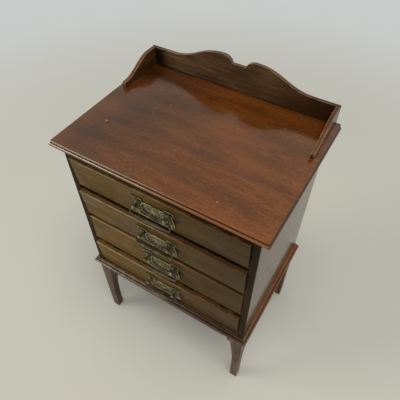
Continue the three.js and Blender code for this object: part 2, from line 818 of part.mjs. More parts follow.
const cabinet = new THREE.Group();
cabinet.add(carcase(), gallery(), stand());
for (let i = 0; i < drawerCount; i += 1) {
  const tray = drawer(drawerCount - i, flapLean * leanShares[i % leanShares.length]);
  tray.position.z = floorTop + runGap + i * drawerPitch;
  cabinet.add(tray);
}

// The origin is on the floor under the middle of the whole cabinet
const extent = new THREE.Box3().setFromObject(cabinet, true);
cabinet.position.y = -(extent.min.y + extent.max.y) / 2;
export default cabinet;
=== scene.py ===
# %% [markdown]
# # A sheet music cabinet, dressed for the camera
# The cabinet arrives as plain solids in one fixed frame, with its drawers, fall fronts and bails already
# on their joints. This lesson gives every board, moulding and brass its finished surface. The first cell
# loads the frame.

# %% Load the frame
import json
import math

import bmesh
import bpy
import numpy as np
from mathutils import Matrix, Vector
from mathutils.geometry import delaunay_2d_cdt


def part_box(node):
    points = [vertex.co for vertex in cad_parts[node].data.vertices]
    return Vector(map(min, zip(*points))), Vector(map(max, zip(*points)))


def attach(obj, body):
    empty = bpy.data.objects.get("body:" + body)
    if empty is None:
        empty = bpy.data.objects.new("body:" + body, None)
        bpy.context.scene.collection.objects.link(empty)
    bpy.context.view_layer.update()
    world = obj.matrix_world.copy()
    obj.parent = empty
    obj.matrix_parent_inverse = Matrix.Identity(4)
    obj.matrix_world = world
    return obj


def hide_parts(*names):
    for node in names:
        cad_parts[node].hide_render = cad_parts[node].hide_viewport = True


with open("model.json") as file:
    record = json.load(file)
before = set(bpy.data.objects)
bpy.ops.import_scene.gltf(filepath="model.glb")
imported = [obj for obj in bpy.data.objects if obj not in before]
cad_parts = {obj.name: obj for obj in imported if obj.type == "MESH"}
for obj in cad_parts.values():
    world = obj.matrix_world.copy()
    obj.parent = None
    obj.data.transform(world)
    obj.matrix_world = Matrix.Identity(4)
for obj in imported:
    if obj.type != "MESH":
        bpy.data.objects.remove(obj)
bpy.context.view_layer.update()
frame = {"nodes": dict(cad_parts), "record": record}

print("nodes in the frame:", len(frame["nodes"]))

# %% [markdown]
# ## The camera
# The picture is taken from above the right-hand front corner, looking down and to the left. Setting the
# camera first means that every later choice of size and finish can be judged in the real view.

# %% Camera
camera_place = (0.3748, -0.6031, 1.3885)
camera_target = (-0.1497, 0.2609, 0.2082)
camera_lens = 36.6
film_width = 36.0


def linked(name, data):
    """A new object for a mesh, a camera or a lamp, in the scene."""
    made = bpy.data.objects.new(name, data)
    bpy.context.scene.collection.objects.link(made)
    return made


def aimed(thing, place, target):
    """Puts a camera or a lamp at a place and turns it to face a target."""
    thing.location = place
    thing.rotation_euler = (Vector(target) - Vector(place)).to_track_quat("-Z", "Y").to_euler()


camera_data = bpy.data.cameras.new("photo_camera")
camera_data.lens = camera_lens
camera_data.sensor_width = film_width
camera = linked("photo_camera", camera_data)
aimed(camera, camera_place, camera_target)
bpy.context.scene.camera = camera
print("camera distance:", round((Vector(camera_target) - Vector(camera_place)).length, 3))

# %% [markdown]
# ## Small tools for building materials
# A wood or a brass is a few dozen shader nodes. One small helper keeps each material short enough to
# read: a call makes a node, sets its plain values, and links any socket passed to it. The same helper
# builds the sky and, later on, the trees of Geometry Nodes.


# %% Node helper
class Nodes:
    """Short calls that build the nodes of one tree. Each gives what the node puts out."""

    def __init__(self, tree):
        self.tree = tree
        tree.nodes.clear()

    def node(self, kind, values=(), **settings):
        made = self.tree.nodes.new(kind)
        for key, value in settings.items():
            setattr(made, key, value)
        for key, value in dict(values).items():
            if isinstance(value, bpy.types.NodeSocket):
                self.tree.links.new(value, made.inputs[key])
            else:
                made.inputs[key].default_value = value
        return made.outputs

    def maths(self, operation, first, second=0.0, third=0.0):
        return self.node("ShaderNodeMath", {0: first, 1: second, 2: third}, operation=operation)[0]

    def between(self, value, low, high, out_low=0.0, out_high=1.0):
        """Eases from one output to the other while a value goes from low to high."""
        values = {"Value": value, "From Min": low, "From Max": high, "To Min": out_low, "To Max": out_high}
        return self.node("ShaderNodeMapRange", values, interpolation_type="SMOOTHSTEP")["Result"]

    def looked_at(self):
        """1 for the rays that the camera, a mirror or glass sends out."""
        rays = self.node("ShaderNodeLightPath")
        seen = self.maths("MAXIMUM", rays["Is Camera Ray"], rays["Is Glossy Ray"])
        return self.maths("MAXIMUM", seen, rays["Is Transmission Ray"])


print("node helper ready:", Nodes.__name__)

# %% Material helper
MIX_FIRST = 6
MIX_SECOND = 7
MIX_RESULT = 2


class Finish(Nodes):
    """One material in Object coordinates, whose colour is built up by shade and paint."""

    def __init__(self, name):
        self.material = bpy.data.materials.new(name)
        self.material.use_nodes = True
        super().__init__(self.material.node_tree)
        self.place = self.node("ShaderNodeTexCoord")["Object"]
        self.colour = None

    def scaled(self, scales, shift=(0, 0, 0)):
        values = {"Vector": self.place, "Location": shift, "Scale": scales}
        return self.node("ShaderNodeMapping", values)["Vector"]

    def noise(self, scale, detail, roughness, distortion=0.0, vector=None):
        values = {"Vector": vector or self.place, "Scale": scale, "Detail": detail, "Roughness": roughness,
                  "Distortion": distortion}
        return self.node("ShaderNodeTexNoise", values)["Fac"]

    def drawn_out(self, scales, detail, roughness, distortion=0.0, shift=(0, 0, 0)):
        """Noise with its own scale along each axis."""
        return self.noise(1.0, detail, roughness, distortion, self.scaled(scales, shift))

    def cloudy(self, noise, low, high, out_low=0.0, out_high=1.0):
        """Eases from one output to the other with even noise, given as scale, detail and roughness."""
        return self.between(self.noise(*noise), low, high, out_low, out_high)

    def axis(self, letter):
        return self.node("ShaderNodeSeparateXYZ", {"Vector": self.place})[letter]

    def across(self, letter, low, high, out_low=0.0, out_high=1.0):
        """Eases from one output to the other along X, Y or Z."""
        return self.between(self.axis(letter), low, high, out_low, out_high)

    def marked(self, name):
        """A value that the mesh carries under a name."""
        return self.node("ShaderNodeAttribute", attribute_name=name)["Fac"]

    def mix(self, share, first, second, blend="MIX"):
        values = {0: share, MIX_FIRST: first, MIX_SECOND: second}
        return self.node("ShaderNodeMix", values, data_type="RGBA", blend_type=blend)[MIX_RESULT]

    def paint(self, paint, mask, strength=1.0):
        """Covers the colour with another where a mask says, up to a strength."""
        self.colour = self.mix(self.maths("MULTIPLY", mask, strength), self.colour, paint)

    def shade(self, level):
        """Makes the colour darker or lighter by a level, where 1 leaves it alone."""
        grey = self.node("ShaderNodeCombineColor", {"Red": level, "Green": level, "Blue": level})
        self.colour = self.mix(1.0, self.colour, grey["Color"], "MULTIPLY")

    def ramp(self, value, *stops):
        """Starts the colour off from a value, with a colour at each of some positions."""
        self.colour = self.node("ShaderNodeValToRGB", {"Fac": value})["Color"]
        elements = self.colour.node.color_ramp.elements
        while len(elements) < len(stops):
            elements.new(0.5)
        for element, (position, colour) in zip(elements, stops):
            element.position = position
            element.color = colour

    def close(self, roughness, bump, bump_depth, plain):
        """Ends the material in a shader. plain holds the sockets that are the same all over."""
        raised = self.node("ShaderNodeBump", {"Height": bump, "Strength": 1.0, "Distance": bump_depth})
        values = {"Base Color": self.colour, "Roughness": roughness, "Normal": raised["Normal"]}
        shader = self.node("ShaderNodeBsdfPrincipled", {**values, **plain})
        self.node("ShaderNodeOutputMaterial", {"Surface": shader["BSDF"]})
        return self.material


def tone(red, green, blue):
    """A colour as it is read off a screen, turned into light."""
    def light(value):
        share = value / 255
        return share / 12.92 if share <= 0.04045 else ((share + 0.055) / 1.055) ** 2.4

    return (light(red), light(green), light(blue), 1.0)


print("a middle grey as light:", round(tone(128, 128, 128)[0], 3))

# %% [markdown]
# ## Floor, sky and lamps
# A studio for furniture is a pale floor and a lot of soft light. The pale surroundings are made by the
# world for the camera and for reflections, while a dimmer copy of it lights the object, so polished wood
# mirrors a bright room without being washed out. Away from the cabinet the floor melts into the
# background for the camera and for reflections, as the swept paper of a studio does.

# %% Floor and sky
floor_reach = 9.0
sweep_start = 1.1
sweep_end = 2.6
floor_tone = tone(198, 195, 183)
room_tone = tone(202, 204, 203)
room_strength = 1.0
fill_strength = 0.64

floor_paint = Finish("floor_paint")
floor_matt = floor_paint.node("ShaderNodeBsdfDiffuse", {"Color": floor_tone})["BSDF"]
floor_glow = floor_paint.node("ShaderNodeEmission", {"Color": room_tone, "Strength": room_strength})
away = floor_paint.node("ShaderNodeVectorMath", {0: floor_paint.place}, operation="LENGTH")["Value"]
swept = floor_paint.between(away, sweep_start, sweep_end)
seen_swept = floor_paint.maths("MULTIPLY", swept, floor_paint.looked_at())
floor_mix = floor_paint.node("ShaderNodeMixShader", {0: seen_swept, 1: floor_matt, 2: floor_glow[0]})
floor_paint.node("ShaderNodeOutputMaterial", {"Surface": floor_mix[0]})

floor_mesh = bpy.data.meshes.new("floor")
floor_corners = [(x * floor_reach, y * floor_reach, 0.0) for x, y in ((-1, -1), (1, -1), (1, 1), (-1, 1))]
floor_mesh.from_pydata(floor_corners, [], [(0, 1, 2, 3)])
floor = linked("floor", floor_mesh)
floor_mesh.materials.append(floor_paint.material)

world = bpy.data.worlds.new("studio")
bpy.context.scene.world = world
world.use_nodes = True
sky = Nodes(world.node_tree)
sky_strength = sky.between(sky.looked_at(), 0.0, 1.0, fill_strength, room_strength)
sky_glow = sky.node("ShaderNodeBackground", {"Color": room_tone, "Strength": sky_strength})
sky.node("ShaderNodeOutputWorld", {"Surface": sky_glow["Background"]})
print("floor side:", 2 * floor_reach)

# %% [markdown]
# Two broad lamps, both far off, light the top and the front evenly and leave a soft shadow under the
# stand. The overhead one is kept out of reflections, because its square would show in the polished top.

# %% Lamps
lamp_size = 3.0
LAMPS = {
    "overhead": dict(place=(1.1, -0.8, 5.4), aim_height=0.4, watts=170.0, mirrored=False),
    "window": dict(place=(-5.0, -3.5, 4.5), aim_height=0.5, watts=150.0, mirrored=True),
}

for name, plan in LAMPS.items():
    light = bpy.data.lights.new(name, "AREA")
    light.size = lamp_size
    light.energy = plan["watts"]
    lamp = linked(name, light)
    aimed(lamp, plan["place"], (0, 0, plan["aim_height"]))
    lamp.visible_glossy = plan["mirrored"]
bpy.context.scene.view_settings.view_transform = "Standard"
print("lamps:", sorted(LAMPS))

# %% [markdown]
# ## Polished wood
# Old polished hardwood has three scales of pattern: broad soft patches where the stain took differently,
# streaks a few millimetres wide along the grain, and fine dark pores. All three come from noise that is
# stretched along the grain. Handled edges are rubbed back to a paler, warmer tone; an attribute that each
# board carries on its small bevels says where. The reflection is slightly warm, as old shellac makes it.

# %% Wood recipe
patch_scale = 5.0
patch_ratio = 2.5
streak_ratio = 16.0
pore_ratio = 18.0
pore_depth = 0.00012
filled_pore_depth = 0.00003
warm_shine = (1.0, 0.84, 0.66, 1.0)
figure_share = 0.45
STREAK_KIND = (4.0, 0.6, 0.3)
FIGURE_KIND = (3.0, 0.55, 0.9)
PATCH_KIND = (2.0, 0.5, 0.4)
FLECK_KIND = (2.0, 0.5)
PORE_KIND = (2.0, 0.6)
RUB_NOISE = (42.0, 4.0, 0.65)
GLOSS_NOISE = (14.0, 3.0, 0.6)


def wood(name, along, tones, streaks=170.0, wear=0.8, least_wear=0.0, gloss=0.35, shine=0.35, spread=0.14,
         flecks=0.0, relief=pore_depth, marks=None, worn_by=None, dull=None):
    """One wood in four tones: deep, middle, bright and worn.

    marks changes the colour from place to place, worn_by the worn tone, and dull says where the polish
    has gone.
    """
    deep, middle, bright, worn = [tone(*values) for values in tones]
    finish = Finish(name)

    def grain(scale, ratio, kind):
        """Noise drawn out along the grain. kind gives its detail, roughness and distortion."""
        return finish.drawn_out([scale / ratio if letter == along else scale for letter in "XYZ"], *kind)

    streak = grain(streaks, streak_ratio, STREAK_KIND)
    figure = finish.maths("MULTIPLY", grain(streaks / 5, streak_ratio / 2, FIGURE_KIND), figure_share)
    level = finish.maths("MULTIPLY_ADD", streak, 1 - figure_share, figure)
    finish.ramp(level, (0.5 - spread, deep), (0.5, middle), (0.5 + spread, bright))
    finish.shade(finish.between(grain(patch_scale, patch_ratio, PATCH_KIND), 0.3, 0.7, 0.8, 1.12))
    fleck = grain(streaks * 3, streak_ratio / 3, FLECK_KIND)
    finish.paint(worn, finish.between(fleck, 0.52, 0.7, 0.0, flecks))
    pore = finish.between(grain(streaks * 7, pore_ratio, PORE_KIND), 0.36, 0.43, 0.7, 0.0)
    finish.paint(deep, pore)
    if marks:
        marks(finish)
    if worn_by:
        worn = worn_by(finish, worn)
    finish.paint(worn, finish.marked("arris"), finish.cloudy(RUB_NOISE, 0.42, 0.62, least_wear, wear))
    rough = finish.cloudy(GLOSS_NOISE, 0.3, 0.7, gloss * 0.8, gloss * 1.25)
    if dull:
        rough = finish.maths("MAXIMUM", rough, dull(finish))
    bump = finish.maths("SUBTRACT", finish.maths("MULTIPLY", streak, 0.3), pore)
    return finish.close(rough, bump, relief, {"Specular IOR Level": shine, "Specular Tint": warm_shine})


print("pores are", pore_ratio, "times as long as they are wide")

# %% [markdown]
# ## What happened to the top
# A century of use leaves marks that plain wood grain doesn't have. The top has darker blotches, a redder
# patch or two and a scatter of small pale dents. Painted light goes on it too: a darker left end and a
# lighter right end and front, a painted reflection of the room; a painted highlight that makes the front
# edge pale at the left, over its rubbed wear; and painted shadow in the hollows of the edge and in the
# joint with the gallery. Its right-hand edge is painted dark. Each mark is a small change of colour, made
# before the recipe above adds the wear of the edges.

# %% Marks on the top
top_low, top_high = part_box("top_board")
gallery_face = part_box("gallery_back")[0].y
joint_shade = 0.007
dark_edge = 0.003
shade_turn = 0.02
edge_highlight_band = (-0.12, 0.15)
crown_scales = (1.0, 4.2, 1.0)
TOP_BLOTCHES = ((7.0, 11.0, 6.0), 5.0, 0.62, 0.8)
WARM_PATCHES = ((3.4, 4.4, 3.0), 2.0, 0.5, 0.0, (3.1, 0.7, 0.0))
DENT_NOISE = (95.0, 1.0, 0.4)
DENTED_NOISE = (9.0, 2.0, 0.5)


def top_side_edge(finish, strength):
    """A strength on the moulded edge of the right-hand side, which is painted dark."""
    return finish.across("X", top_high.x - 2 * dark_edge, top_high.x - dark_edge, 0.0, strength)


def top_wear_and_highlight(finish, worn):
    """The worn tone, with a painted highlight at the front edge's left end and dark on the right-hand edge.
    """
    worn = finish.mix(finish.across("X", *edge_highlight_band), tone(172, 150, 120), worn)
    return finish.mix(top_side_edge(finish, 0.85), worn, tone(52, 36, 26))


def crown_figure(finish):
    """Broad wavering bands, as a board sawn across the rings shows."""
    values = {"Vector": finish.scaled(crown_scales), "Scale": 1.1, "Distortion": 6.0, "Detail": 3.0,
              "Detail Scale": 1.4}
    return finish.node("ShaderNodeTexWave", values, wave_type="BANDS", bands_direction="Y")["Fac"]


def top_marks(finish):
    # Painted reflection: darker at the left end and lighter at the right end.
    finish.shade(finish.across("X", top_low.x, shade_turn, 0.42, 1.0))
    finish.shade(finish.across("X", shade_turn, top_high.x, 1.0, 1.22))
    finish.paint(tone(34, 23, 16), top_side_edge(finish, 0.7))
    finish.shade(finish.between(finish.drawn_out(*TOP_BLOTCHES), 0.52, 0.76, 1.0, 0.74))
    # Painted reflection: lighter towards the front.
    finish.shade(finish.across("Y", top_low.y, 0.0, 1.36, 1.0))
    finish.shade(finish.between(crown_figure(finish), 0.0, 0.7, 0.84, 1.07))
    # Painted shadow in the joint with the gallery.
    finish.shade(finish.across("Y", gallery_face - joint_shade, gallery_face, 1.0, 0.5))
    finish.paint(tone(122, 64, 22), finish.between(finish.drawn_out(*WARM_PATCHES), 0.5, 0.7, 0.0, 0.4))
    dent = finish.cloudy(DENT_NOISE, 0.74, 0.77)
    finish.paint(tone(150, 112, 80), dent, finish.cloudy(DENTED_NOISE, 0.48, 0.58))
    # Painted shade in the hollow and the cove of the edge.
    finish.paint(tone(34, 20, 9), finish.marked("hollow"), 0.55)


print("top board:", round(top_high.x - top_low.x, 4), "by", round(top_high.y - top_low.y, 4))

# %% [markdown]
# ## What happened to the gallery
# Polish has darkened unevenly here, because nobody rubs an upright board. The right end and the left
# corner are painted darkest, a painted shade and reflection; the low returns are a redder wood; and a
# painted shadow runs along the foot of all three.

# %% Marks on the gallery
gallery_shade_band = (0.06, 0.232)
corner_shade_band = (-0.232, -0.202)
GALLERY_PATCHES = ((9.0, 9.0, 16.0), 4.0, 0.6, 0.6)


def foot_shade(finish):
    """A painted shadow lies dark in the joint between the gallery and the top."""
    finish.shade(finish.across("Z", top_high.z, top_high.z + joint_shade, 0.4, 1.0))


def gallery_marks(finish):
    finish.shade(finish.between(finish.drawn_out(*GALLERY_PATCHES), 0.36, 0.64, 0.72, 1.12))
    # Painted shade and reflection: darker at the right end and in the left corner.
    finish.paint(tone(42, 16, 3), finish.across("X", *gallery_shade_band), 0.95)
    finish.paint(tone(14, 8, 4), finish.across("X", *corner_shade_band, 0.9, 0.0))
    foot_shade(finish)


def return_marks(finish):
    finish.paint(tone(44, 20, 8), finish.across("Y", 0.0, top_high.y), 0.5)
    foot_shade(finish)


print("gallery stands on", round(top_high.z, 4))

# %% [markdown]
# ## What happened to the fronts
# The fronts are painted olive and lighter on the left, greyer and darker on the right, and lighter towards
# the bottom, as light and reflection fall on them. Each has a painted shadow of its plate, on a polish
# stain, at the right of its handle, a bead with a painted highlight over its worn tone, a worn top edge,
# and painted shade in the groove behind it. One spot serves all four: the height is counted in drawers,
# and the spot lies at every whole one.

# %% Marks on the fronts
behaviour = frame["record"]["behaviour"]
JOINTS = {joint["name"]: joint for joint in behaviour["joints"]}
shut_low, shut_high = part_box("drawer_3_fall_front")
drawer_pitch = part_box("drawer_2_bottom")[0].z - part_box("drawer_3_bottom")[0].z
handle_height = JOINTS["bail_3_swing"]["pos_m"][2]
fronts_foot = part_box("drawer_4_fall_front")[0].z
fronts_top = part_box("drawer_1_fall_front")[1].z
shadow_stain_place = 0.0585
shadow_stain_width = 0.0115
shadow_stain_drop = 0.01
shadow_stain_rag = 0.008
edge_band = (-0.1, 0.1)
bead_highlight_band = (-0.04, 0.14)
FRONT_BLOTCHES = ((9.0, 9.0, 16.0), 4.0, 0.6, 0.8)
RAG_NOISE = (110.0, 3.0, 0.6)
BEAD_NOISE = (30.0, 3.0, 0.6)


def plate_shadow_stain(finish):
    """1 in a ragged spot at the right of each handle: a painted shadow of the plate on a polish stain."""
    drawers_up = finish.maths("SUBTRACT", finish.axis("Z"), handle_height - shadow_stain_drop)
    drawers_up = finish.maths("DIVIDE", drawers_up, drawer_pitch)
    level = finish.maths("SUBTRACT", drawers_up, finish.maths("ROUND", drawers_up))
    level = finish.maths("MULTIPLY", level, drawer_pitch)
    side = finish.maths("SUBTRACT", finish.axis("X"), shadow_stain_place)
    squares = [finish.maths("MULTIPLY", value, value) for value in (side, level)]
    apart = finish.maths("SQRT", finish.maths("ADD", *squares))
    ragged = finish.maths("MULTIPLY_ADD", finish.noise(*RAG_NOISE), shadow_stain_rag, apart)
    return finish.between(ragged, shadow_stain_width * 0.6, shadow_stain_width * 1.4, 0.92, 0.0)


def front_marks(finish):
    # Painted light and reflection: olive and light at the left, grey and dark at the right, lighter below.
    finish.shade(finish.across("X", shut_low.x * 0.9, shut_high.x * 0.95, 1.12, 0.56))
    finish.shade(finish.across("Z", fronts_foot, fronts_top, 1.2, 0.96))
    finish.paint(tone(74, 60, 44), finish.across("X", 0.0, shut_high.x, 0.0, 0.45))
    blotch = finish.between(finish.drawn_out(*FRONT_BLOTCHES), 0.5, 0.75, 0.0, 0.45)
    finish.paint(tone(92, 56, 28), blotch)
    # Painted shadow of the plate, on a polish stain, at the right of each handle.
    finish.paint(tone(30, 15, 0), finish.marked("face"), plate_shadow_stain(finish))
    edge_tone = finish.mix(finish.across("X", *edge_band), tone(86, 68, 42), tone(62, 44, 26))
    finish.paint(edge_tone, finish.marked("edge"), 0.85)
    # Painted shade in the groove and along the back of the top edge.
    finish.paint(tone(22, 14, 8), finish.marked("groove"))
    # Painted highlight on the bead, pale at the left, over an orange worn tone at the right.
    bead_highlight_tone = finish.mix(finish.across("X", *bead_highlight_band), tone(160, 132, 88), tone(98, 64, 36))
    finish.paint(bead_highlight_tone, finish.marked("bead"), finish.cloudy(BEAD_NOISE, 0.34, 0.6, 0.45, 1.0))


print("fronts repeat every", round(drawer_pitch, 4))

# %% [markdown]
# ## The sides, trays and mouldings
# Hands have turned the front edges of the sides nearly black and taken off their polish. The front edge
# of each tray is painted dark, a painted shade, so that it doesn't show as a pale line in the gap. The
# ridges of the mouldings are painted paler and their hollows darker, and the side mouldings grow darker
# and greyer towards their front ends.

# %% Marks on sides, trays and mouldings
case_low, case_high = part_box("base_board")
tray_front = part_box("drawer_3_bottom")[0].y
tray_shade_depth = 0.001
handled_depth = 0.006
front_end_fade = 0.14
ridge_fade_band = (-0.14, 0.14)
RIDGE_NOISE = (26.0, 4.0, 0.6)


def side_marks(finish):
    finish.shade(finish.across("Y", case_low.y + handled_depth, case_low.y + 4 * handled_depth, 0.3, 1.15))


def side_dulled(finish):
    return finish.across("Y", case_low.y + handled_depth / 4, case_low.y + handled_depth / 2, 0.95, 0.0)


# Painted shade: the front edge of each tray is painted nearly black.
def tray_edge_shade(finish):
    finish.shade(finish.across("Y", tray_front + tray_shade_depth, tray_front + 2 * tray_shade_depth, 0.12, 1.0))


def moulding_marks(finish, ridge_tone):
    finish.paint(ridge_tone, finish.marked("ridge"), finish.cloudy(RIDGE_NOISE, 0.35, 0.65, 0.25, 0.95))
    finish.paint(tone(26, 15, 9), finish.marked("hollow"), 0.8)


def front_moulding_marks(finish):
    """The moulding under the drawers has paler, greyer ridges at its left end and stays dark at the right."""
    to_right = finish.across("X", *ridge_fade_band)
    moulding_marks(finish, finish.mix(to_right, tone(152, 134, 112), tone(72, 52, 40)))


def side_moulding_marks(finish):
    """The mouldings at the sides are redder, but greyer and darker near their front ends."""
    backward = finish.across("Y", case_low.y, case_low.y + front_end_fade)
    finish.shade(finish.maths("MULTIPLY_ADD", backward, 0.45, 0.6))
    moulding_marks(finish, finish.mix(backward, tone(112, 94, 80), tone(120, 76, 48)))


print("sides are handled over", handled_depth)

# %% [markdown]
# ## The woods
# Each wood is the recipe with its own tones. The polished top is the reddest and glossiest, the fronts
# are olive and nearly matt, and the softwood inside the drawers is pale and was never polished, though the
# tray bottoms take dark tones, a painted shade for the gaps under the fronts. A board takes the wood whose
# grain runs its own way, which is why one set of tones can serve three times.

# %% Woods
TOP = dict(tones=((54, 24, 3), (81, 40, 8), (107, 61, 20), (134, 76, 22)), streaks=260.0, spread=0.24,
           gloss=0.12, shine=0.75, flecks=0.4, relief=filled_pore_depth, wear=0.95, least_wear=0.75)
GALLERY = dict(tones=((50, 33, 18), (88, 64, 40), (116, 88, 58), (140, 100, 66)), spread=0.2,
               gloss=0.24, shine=0.45)
RETURN = dict(tones=((52, 28, 12), (90, 56, 28), (120, 80, 46), (166, 120, 84)), spread=0.2,
              gloss=0.24, shine=0.4, least_wear=0.4)
FRONT = dict(tones=((72, 52, 16), (107, 80, 33), (130, 98, 46), (156, 112, 62)), spread=0.18,
             gloss=0.4, shine=0.08)
CASE = dict(tones=((58, 38, 22), (90, 62, 38), (112, 80, 52), (136, 94, 58)), gloss=0.34, shine=0.2)
SIDE = {**CASE, "gloss": 0.12, "shine": 0.35}
DARK_STRIP = dict(tones=((38, 26, 18), (62, 44, 32), (80, 58, 42), (120, 94, 72)), gloss=0.32, shine=0.4)
STRIP = dict(tones=((92, 56, 32), (142, 90, 54), (168, 114, 76), (150, 106, 72)), gloss=0.3, shine=0.4)
# The tray bottoms take dark tones, a painted shade that keeps the gaps under the fronts black.
TRAY_IN_SHADE = dict(tones=((40, 26, 16), (62, 42, 26), (84, 60, 40), (96, 70, 48)), gloss=0.6, shine=0.25)
PLAIN = dict(tones=((110, 78, 46), (142, 106, 66), (164, 128, 86), (170, 136, 96)), gloss=0.6, shine=0.3)

woods = {
    "top": wood("polished_top", "X", marks=top_marks, worn_by=top_wear_and_highlight, **TOP),
    "gallery_x": wood("gallery_back_wood", "X", marks=gallery_marks, **GALLERY),
    "gallery_y": wood("gallery_return_wood", "Y", marks=return_marks, **RETURN),
    "front": wood("front_wood", "X", marks=front_marks, **FRONT),
    "case_x": wood("case_wood_across", "X", **CASE),
    "case_y": wood("case_wood_deep", "Y", **CASE),
    "case_z": wood("case_wood_upright", "Z", **CASE),
    "side": wood("side_wood", "Z", marks=side_marks, dull=side_dulled, **SIDE),
    "strip_x": wood("moulding_wood_across", "X", marks=front_moulding_marks, **DARK_STRIP),
    "strip_y": wood("moulding_wood_deep", "Y", marks=side_moulding_marks, **STRIP),
    "tray_x": wood("tray_bottom_wood", "X", marks=tray_edge_shade, **TRAY_IN_SHADE),
    "plain_x": wood("drawer_wood_across", "X", **PLAIN),
    "plain_y": wood("drawer_wood_deep", "Y", **PLAIN),
    "plain_z": wood("back_wood", "Z", **PLAIN),
}
print("woods:", sorted(woods))

# %% [markdown]
# ## Old brass
# Cast handles that nobody polishes go olive brown in the hollows and stay bright where fingers rub them.
# The castings below carry an attribute that says how high each point stands, and the metal's colour and
# roughness follow it. Tarnish is a skin of dull oxide, so the metal is only partly metallic.

# %% Brass recipe
tarnished_metal = 0.75
dull_roughness = 0.55
bright_roughness = 0.3
cast_grain_depth = 0.00008
cloud_share = 0.7
CLOUD_NOISE = (70.0, 4.0, 0.6)
SPECK_NOISE = (520.0, 3.0, 0.6)


def brass(name, hollow, field, rubbed):
    finish = Finish(name)
    cloud = finish.maths("MULTIPLY_ADD", finish.noise(*CLOUD_NOISE), cloud_share, -cloud_share / 2)
    speck = finish.noise(*SPECK_NOISE)
    level = finish.maths("ADD", finish.marked("high"), cloud)
    finish.ramp(level, (0.08, hollow), (0.42, field), (0.8, rubbed))
    finish.paint(hollow, finish.between(speck, 0.56, 0.7, 0.0, 0.5))
    rough = finish.between(level, 0.1, 0.9, dull_roughness, bright_roughness)
    return finish.close(rough, speck, cast_grain_depth, {"Metallic": tarnished_metal})


cast_brass = brass("aged_brass", tone(36, 30, 16), tone(122, 110, 70), tone(226, 212, 164))
# The bails take a greyer copy of the brass, a painted sheen.
bail_brass = brass("bail_brass", tone(34, 29, 23), tone(98, 88, 72), tone(186, 174, 148))
strip_brass = brass("pivot_brass", tone(110, 92, 48), tone(160, 136, 76), tone(206, 182, 116))
print("brasses:", [metal.name for metal in (cast_brass, bail_brass, strip_brass)])

# %% [markdown]
# ## Softening every arris
# Real boards have no knife edges: a plane or glasspaper takes them off, and the tiny rounding catches the
# light. A Bevel modifier does this for any board whose solid is already right. It marks its new faces with
# a second material index, which becomes the arris attribute that the wood recipe reads, and then goes.

# %% Rounding and marking
WEAR_MARK = 1
flat_angle = math.radians(0.5)
sharp_angle = math.radians(32)
merge_distance = 0.00001
arris_segments = 2


def smooth_by_angle(mesh, angle=sharp_angle):
    mesh.shade_smooth()
    mesh.set_sharp_from_angle(angle=angle)


def applied(piece):
    """The mesh that a piece has with its modifiers on."""
    graph = bpy.context.evaluated_depsgraph_get()
    evaluated = piece.evaluated_get(graph)
    return bpy.data.meshes.new_from_object(evaluated, preserve_all_data_layers=True, depsgraph=graph)


def mark_faces(mesh, name, chosen):
    """Writes 1 under a name on the corners of the faces that a test chooses, and 0 elsewhere."""
    marks = np.zeros(len(mesh.loops), np.float32)
    for polygon in mesh.polygons:
        if chosen(polygon):
            marks[polygon.loop_start : polygon.loop_start + polygon.loop_total] = 1.0
    mesh.attributes.new(name, "FLOAT", "CORNER").data.foreach_set("value", marks)


def mark_points(mesh, name, values):
    """Writes a value under a name on each point."""
    mesh.attributes.new(name, "FLOAT", "POINT").data.foreach_set("value", values)


def rounded(piece, width):
    """Rounds the sharp edges of a piece and writes where it did so."""
    piece.data.materials.append(None)
    piece.data.materials.append(None)
    bevel = piece.modifiers.new("arris", "BEVEL")
    bevel.width = width
    bevel.segments = arris_segments
    bevel.limit_method = "ANGLE"
    bevel.angle_limit = sharp_angle
    bevel.material = WEAR_MARK
    bevel.harden_normals = True
    bevel.use_clamp_overlap = True
    mesh = applied(piece)
    piece.modifiers.clear()
    piece.data = mesh
    mark_faces(mesh, "arris", lambda polygon: polygon.material_index == WEAR_MARK)
    for polygon in mesh.polygons:
        polygon.material_index = 0
    mesh.materials.clear()
    return piece


print("edges count as sharp from", round(math.degrees(sharp_angle)), "degrees")

# %% Dressing the boards
BODY_OF = {node: body for body, nodes in behaviour["bodies"].items() for node in nodes}
board_arris = 0.0008
gallery_arris = 0.0012
BOTH_ENDS = ("front", "back")
BOTH_SIDES = ("left", "right")


def clean_copy(node):
    """A copy of a solid's mesh with its triangles joined up into flat faces."""
    work = bmesh.new()
    work.from_mesh(frame["nodes"][node].data)
    bmesh.ops.remove_doubles(work, verts=work.verts, dist=merge_distance)
    bmesh.ops.dissolve_limit(work, angle_limit=flat_angle, verts=work.verts, edges=work.edges)
    mesh = bpy.data.meshes.new("dressed_" + node)
    work.to_mesh(mesh)
    work.free()
    smooth_by_angle(mesh)
    return linked("dressed_" + node, mesh)


def settle(piece, node, material):
    """Gives a finished piece its material and body in place of a plain solid, which it hides."""
    piece.data.materials.clear()
    piece.data.materials.append(material)
    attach(piece, BODY_OF[node])
    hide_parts(node)


def dress(nodes, material, arris):
    for node in nodes:
        settle(rounded(clean_copy(node), arris), node, material)


dress(["gallery_back"], woods["gallery_x"], gallery_arris)
dress(["gallery_return_" + side for side in BOTH_SIDES], woods["gallery_y"], gallery_arris)
dress(["side_panel_" + side for side in BOTH_SIDES], woods["side"], board_arris)
dress(["back_panel"], woods["plain_z"], board_arris)
dress(["top_rail", "base_board"], woods["case_x"], board_arris)
dress([f"leg_{end}_{side}" for end in BOTH_ENDS for side in BOTH_SIDES], woods["case_z"], board_arris)
dress(["apron_" + end for end in BOTH_ENDS], woods["case_x"], board_arris)
dress(["apron_" + side for side in BOTH_SIDES], woods["case_y"], board_arris)

